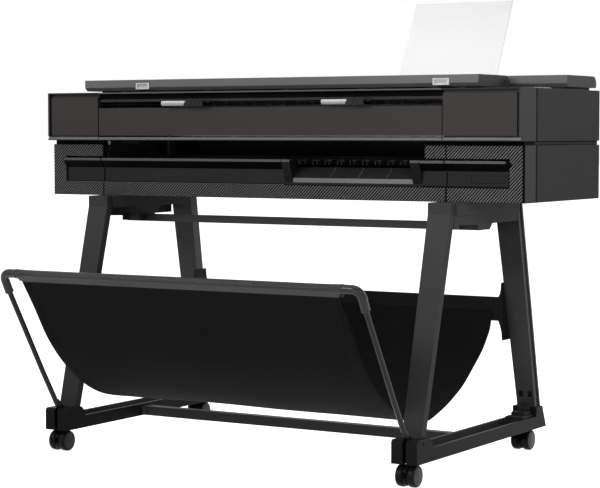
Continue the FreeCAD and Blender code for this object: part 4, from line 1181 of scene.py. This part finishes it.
basket_sheet = bpy.data.objects.new("basket_sheet", mesh)
bpy.context.scene.collection.objects.link(basket_sheet)
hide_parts("basket_cloth")
print(len(mesh.polygons), "faces of cloth")

# %% [markdown]
# Rows of stitching hold the hems. A stitch is a short flat lozenge lying on the cloth. The side hems are
# sewn all along, on both faces, and one row crosses the machine under the sleeve and one at the rear bar.


# %% Stitching
def add_stitch(bm, first, last, outward, width=0.0009, proud=0.0004):
    """One stitch between two points of the cloth, standing a little proud of it."""
    along = last - first
    side = along.cross(outward).normalized() * width / 2
    middle = (first + last) / 2
    top = middle + outward.normalized() * proud
    base = [first, middle + side, last, middle - side]
    base = [bm.verts.new(point) for point in base]
    peak = bm.verts.new(top)
    for i in range(4):
        bm.faces.new((base[i], base[(i + 1) % 4], peak))
    bm.faces.new(base[::-1])


def cloth_at(run, share, raised):
    """A point at a distance along the cloth's line."""
    index = next(i for i in range(1, len(cloth_run)) if cloth_run[i] >= run or i == len(cloth_run) - 1)
    blend_by = (run - cloth_run[index - 1]) / (cloth_run[index] - cloth_run[index - 1])
    return cloth_point(index - 1, share, raised).lerp(cloth_point(index, share, raised), blend_by)


bm = bmesh.new()
stitch, step = 0.0034, 0.0055
skin_half = 0.0009
hem_share = 1 - (hem - 0.004) / CLOTH_HALF
run = cloth_run[sleeve_end] + 0.012
while run < cloth_run[-1] - 0.006:
    for share in (-hem_share, hem_share):
        for side in (1, -1):
            first, last = (cloth_at(run + d, share, side * skin_half) for d in (0, stitch))
            lifted_point = cloth_at(run, share, side * 2 * skin_half)
            add_stitch(bm, first, last, lifted_point - first)
    run += step
for row_run, side in ((cloth_run[sleeve_end] + 0.003, -1), (cloth_run[-1] - 0.022, 1),
                      (cloth_run[-1] - 0.022, -1)):
    x = -CLOTH_HALF + 0.02
    while x < CLOTH_HALF - 0.02:
        shares = (x / CLOTH_HALF, (x + stitch) / CLOTH_HALF)
        first, last = (cloth_at(row_run, share, side * 0.0005) for share in shares)
        lifted_point = cloth_at(row_run, shares[0], side * 0.002)
        add_stitch(bm, first, last, lifted_point - first)
        x += step
mesh = bpy.data.meshes.new("basket_stitches")
bm.to_mesh(mesh)
bm.free()
mesh.materials.append(thread_grey)
basket_stitches = bpy.data.objects.new("basket_stitches", mesh)
bpy.context.scene.collection.objects.link(basket_stitches)
print(len(mesh.polygons) // 5, "stitches")

# %% [markdown]
# The tube folds back with its arms, while the rear bar stays on the stand. Here the cloth and its
# stitching stay as they are drawn: their transforms are baked in, and they ride on neither body.

# %% Bake the cloth's transform
for thing in (basket_sheet, basket_stitches):
    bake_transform(thing)

# %% [markdown]
# ## The stand
# Each castor has two wheels with a hood between and over them. A wheel is turned: a tyre with rounded
# shoulders, a groove, and a face that bulges a little. The hood has a stop tab at the front that the foot
# presses. The wheels spin on the axle and the hood swivels on its stem, so they ride on different bodies.

# %% Castors
WHEEL_FACE = [
    (0.0050, 0.004), (0.0050, 0.0195), (0.0056, 0.0222), (0.0072, 0.0240), (0.0095, 0.0248), (0.0185, 0.0248),
    (0.0206, 0.0244), (0.0221, 0.0234), (0.0229, 0.0220), (0.0229, 0.0214), (0.0222, 0.0208),
    (0.0222, 0.0202), (0.0229, 0.0196), (0.0234, 0.0160), (0.0238, 0.0110), (0.0240, 0.0055),
    (0.0241, 0.0008),
]
for place in ("front_left", "front_right", "rear_left", "rear_right"):
    low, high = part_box("castor_wheel_" + place)
    middle = (low + high) / 2
    bm = bmesh.new()
    for side in (-1, 1):
        add_turned(bm, middle, (side, 0, 0), WHEEL_FACE, 64)
    add_turned(bm, middle - Vector((0.006, 0, 0)), (1, 0, 0), [(0, 0.0038), (0.012, 0.0038)], 20)
    wheels = piece_from("twin_wheels_" + place, bm, tread_black, "wheel_" + place)
    smooth(wheels)
    wheels.data.materials.append(nylon_black)
    for face in wheels.data.polygons:
        from_axle = math.hypot(face.center.y - middle.y, face.center.z - middle.z)
        if abs(face.center.x - middle.x) > 0.0222 and from_axle < 0.0200:
            face.material_index = 1
    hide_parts("castor_wheel_" + place)
    bm = bmesh.new()
    add_block(bm, middle + Vector((-0.0030, -0.0262, -0.0035)), middle + Vector((0.0030, -0.0235, 0.0120)),
              0.0010)
    add_block(bm, middle + Vector((-0.0044, -0.0272, 0.0040)), middle + Vector((0.0044, -0.0250, 0.0075)),
              0.0008)
    add_block(bm, middle + Vector((-0.0044, -0.0265, -0.0045)), middle + Vector((0.0010, -0.0245, -0.0015)),
              0.0007)
    piece_from("stop_tab_" + place, bm, deep_black, "castor_" + place)
print("wheels", round(2 * WHEEL_FACE[5][1] * 1000, 1), "mm across")

# %% [markdown]
# The basket's corner mouldings end in collars, where the thinner arms plug in. The arms are flat on two
# sides at the foot, where a pin holds them in the slot. Socket screws fix the plates of the
# rear legs; each is a turned head with a six-sided socket sunk in it.


# %% Screw helper and collars
def add_screw(bm, place, outward, radius=0.0042, depth=0.0016):
    """A socket screw head lying on a face."""
    outward = Vector(outward).normalized()
    side = outward.orthogonal().normalized()
    other = outward.cross(side)
    rings = []
    shape = ((0, radius, 48), (depth * 0.7, radius, 48), (depth, radius * 0.86, 48),
             (depth, radius * 0.52, 48), (depth * 0.3, radius * 0.5, 48))
    for height, r, steps in shape:
        ring = []
        for step in range(steps):
            angle = math.tau * step / steps
            wide = r
            if r < radius * 0.6:
                sector = (angle % (math.tau / 6)) - math.tau / 12
                wide = r * math.cos(math.tau / 12) / math.cos(sector)
            spoke = wide * (side * math.cos(angle) + other * math.sin(angle))
            ring.append(bm.verts.new(Vector(place) + outward * height + spoke))
        rings.append(ring)
    for first, second in zip(rings, rings[1:]):
        for i in range(len(first)):
            j = (i + 1) % len(first)
            bm.faces.new((first[i], first[j], second[j], second[i]))
    bm.faces.new(rings[0][::-1])
    bm.faces.new(rings[-1])


elbow_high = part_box("basket_elbows")[1]
arm_x = elbow_high.x - 0.0102
arm_top = Vector((0, -0.406, 0.402))
corner = Vector((0, tube_middle.x, tube_middle.y))
down = (arm_top - corner).normalized()
bm = bmesh.new()
for sign in (-1, 1):
    start = arm_top - down * 0.0035
    add_turned(bm, (sign * arm_x, start.y, start.z), down,
               [(0, 0.0100), (0.0004, 0.0106), (0.0036, 0.0106), (0.0046, 0.0096), (0.0046, 0.0064)], 40)
    add_turned(bm, (sign * (SLEEVE_HALF - 0.001), corner.y, corner.z), (sign, 0, 0),
               [(0, 0.0100), (0.0006, 0.0111), (0.0036, 0.0111), (0.0046, 0.0104), (0.0046, 0.0100)], 40)
collars = piece_from("basket_collars", bm, elbow_grey, "basket_frame")
smooth(collars)
print("collars at", round(arm_x, 3))

# %% [markdown]
# A folded foot plate spreads the load of each rear leg on the hollow foot. It has a raised rim, and a screw
# on each side.

# %% Foot plates and screws
bm = bmesh.new()
screws = bmesh.new()
foot_x = 0.479
floor_z = 0.079
leg_front = 0.3885
for sign in (-1, 1):
    x0, x1 = foot_x - 0.0235, foot_x + 0.0235
    low, high = (x0, x1) if sign > 0 else (-x1, -x0)
    add_block(bm, (low, leg_front - 0.062, floor_z), (high, leg_front, floor_z + 0.0085), 0.0018)
    add_block(bm, (low + 0.004, leg_front - 0.040, floor_z + 0.0080),
              (high - 0.004, leg_front, floor_z + 0.0165), 0.0028)
    add_block(bm, (low + 0.008, leg_front - 0.012, floor_z + 0.0160),
              (high - 0.008, leg_front + 0.001, floor_z + 0.030), 0.0028)
    for x in (low + 0.009, high - 0.009):
        add_screw(screws, (x, leg_front - 0.051, floor_z + 0.0085), (0, 0, 1), 0.0034)
piece_from("foot_plates", bm, stand_coat, PRINTER)
screw_heads = piece_from("stand_screws", screws, screw_black, PRINTER)
smooth(screw_heads)
print("plates and screws fitted")

# %% [markdown]
# ## Behind the machine
# The rear panel is plain sheet with a row of air slots near each end, and screws along its edges. A slot
# that is cut right through would need the CAD panel changed, so each one is a black inset with a rolled rim:
# the black is painted shade for the inside of the slot.
# The power inlet has three blades in its socket, and the switch has a lighter bar along its rocker.

# %% Rear details
SLOT_GROUP_X, SLOT_COUNT, SLOT_PITCH = 0.33, 14, 0.013
rear_low, rear_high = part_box("rear_panel")
back = rear_high.y
bm = bmesh.new()
rims = bmesh.new()
for group in (-SLOT_GROUP_X, SLOT_GROUP_X):
    for i in range(SLOT_COUNT):
        x = group + (i - (SLOT_COUNT - 1) / 2) * SLOT_PITCH
        for first, last, part, depth in (
            ((x - 0.0026, 0.792), (x + 0.0026, 0.838), bm, 0.0004),
            ((x - 0.0036, 0.791), (x - 0.0026, 0.839), rims, 0.0009),
            ((x + 0.0026, 0.791), (x + 0.0036, 0.839), rims, 0.0009),
        ):
            add_block(part, (first[0], back - 0.0003, first[1]), (last[0], back + depth, last[1]), 0.0002)
piece_from("air_slots", bm, deep_black, PRINTER)
piece_from("air_slot_rims", rims, cover_grey, PRINTER)
bm = bmesh.new()
for i in range(7):
    x = rear_low.x + 0.02 + (rear_high.x - rear_low.x - 0.04) * i / 6
    for z in (rear_low.z + 0.012, rear_high.z - 0.012):
        add_screw(bm, (x, back, z), (0, 1, 0), 0.0036, 0.0011)
rear_screws = piece_from("rear_screws", bm, screw_black, PRINTER)
smooth(rear_screws)
inlet_low, inlet_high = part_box("power_inlet")
inlet_x = (inlet_low.x + inlet_high.x) / 2
inlet_z = (inlet_low.z + inlet_high.z) / 2
bm = bmesh.new()
for dx, dz in ((-0.0058, -0.002), (0.0058, -0.002), (0, 0.003)):
    add_block(bm, (inlet_x + dx - 0.001, 0.4005, inlet_z + dz - 0.0025),
              (inlet_x + dx + 0.001, 0.4125, inlet_z + dz + 0.0025), 0.0004)
piece_from("inlet_blades", bm, bare_steel, PRINTER)
rocker_low, rocker_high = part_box("power_switch")
bm = bmesh.new()
add_block(bm, ((rocker_low.x + rocker_high.x) / 2 - 0.0012, rocker_high.y, rocker_low.z + 0.013),
          ((rocker_low.x + rocker_high.x) / 2 + 0.0012, rocker_high.y + 0.0004, rocker_low.z + 0.020), 0.0001)
piece_from("rocker_mark", bm, highlight_and_mark_grey, "power_switch")
print("rear details made")

# %% Finish up
low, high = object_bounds()
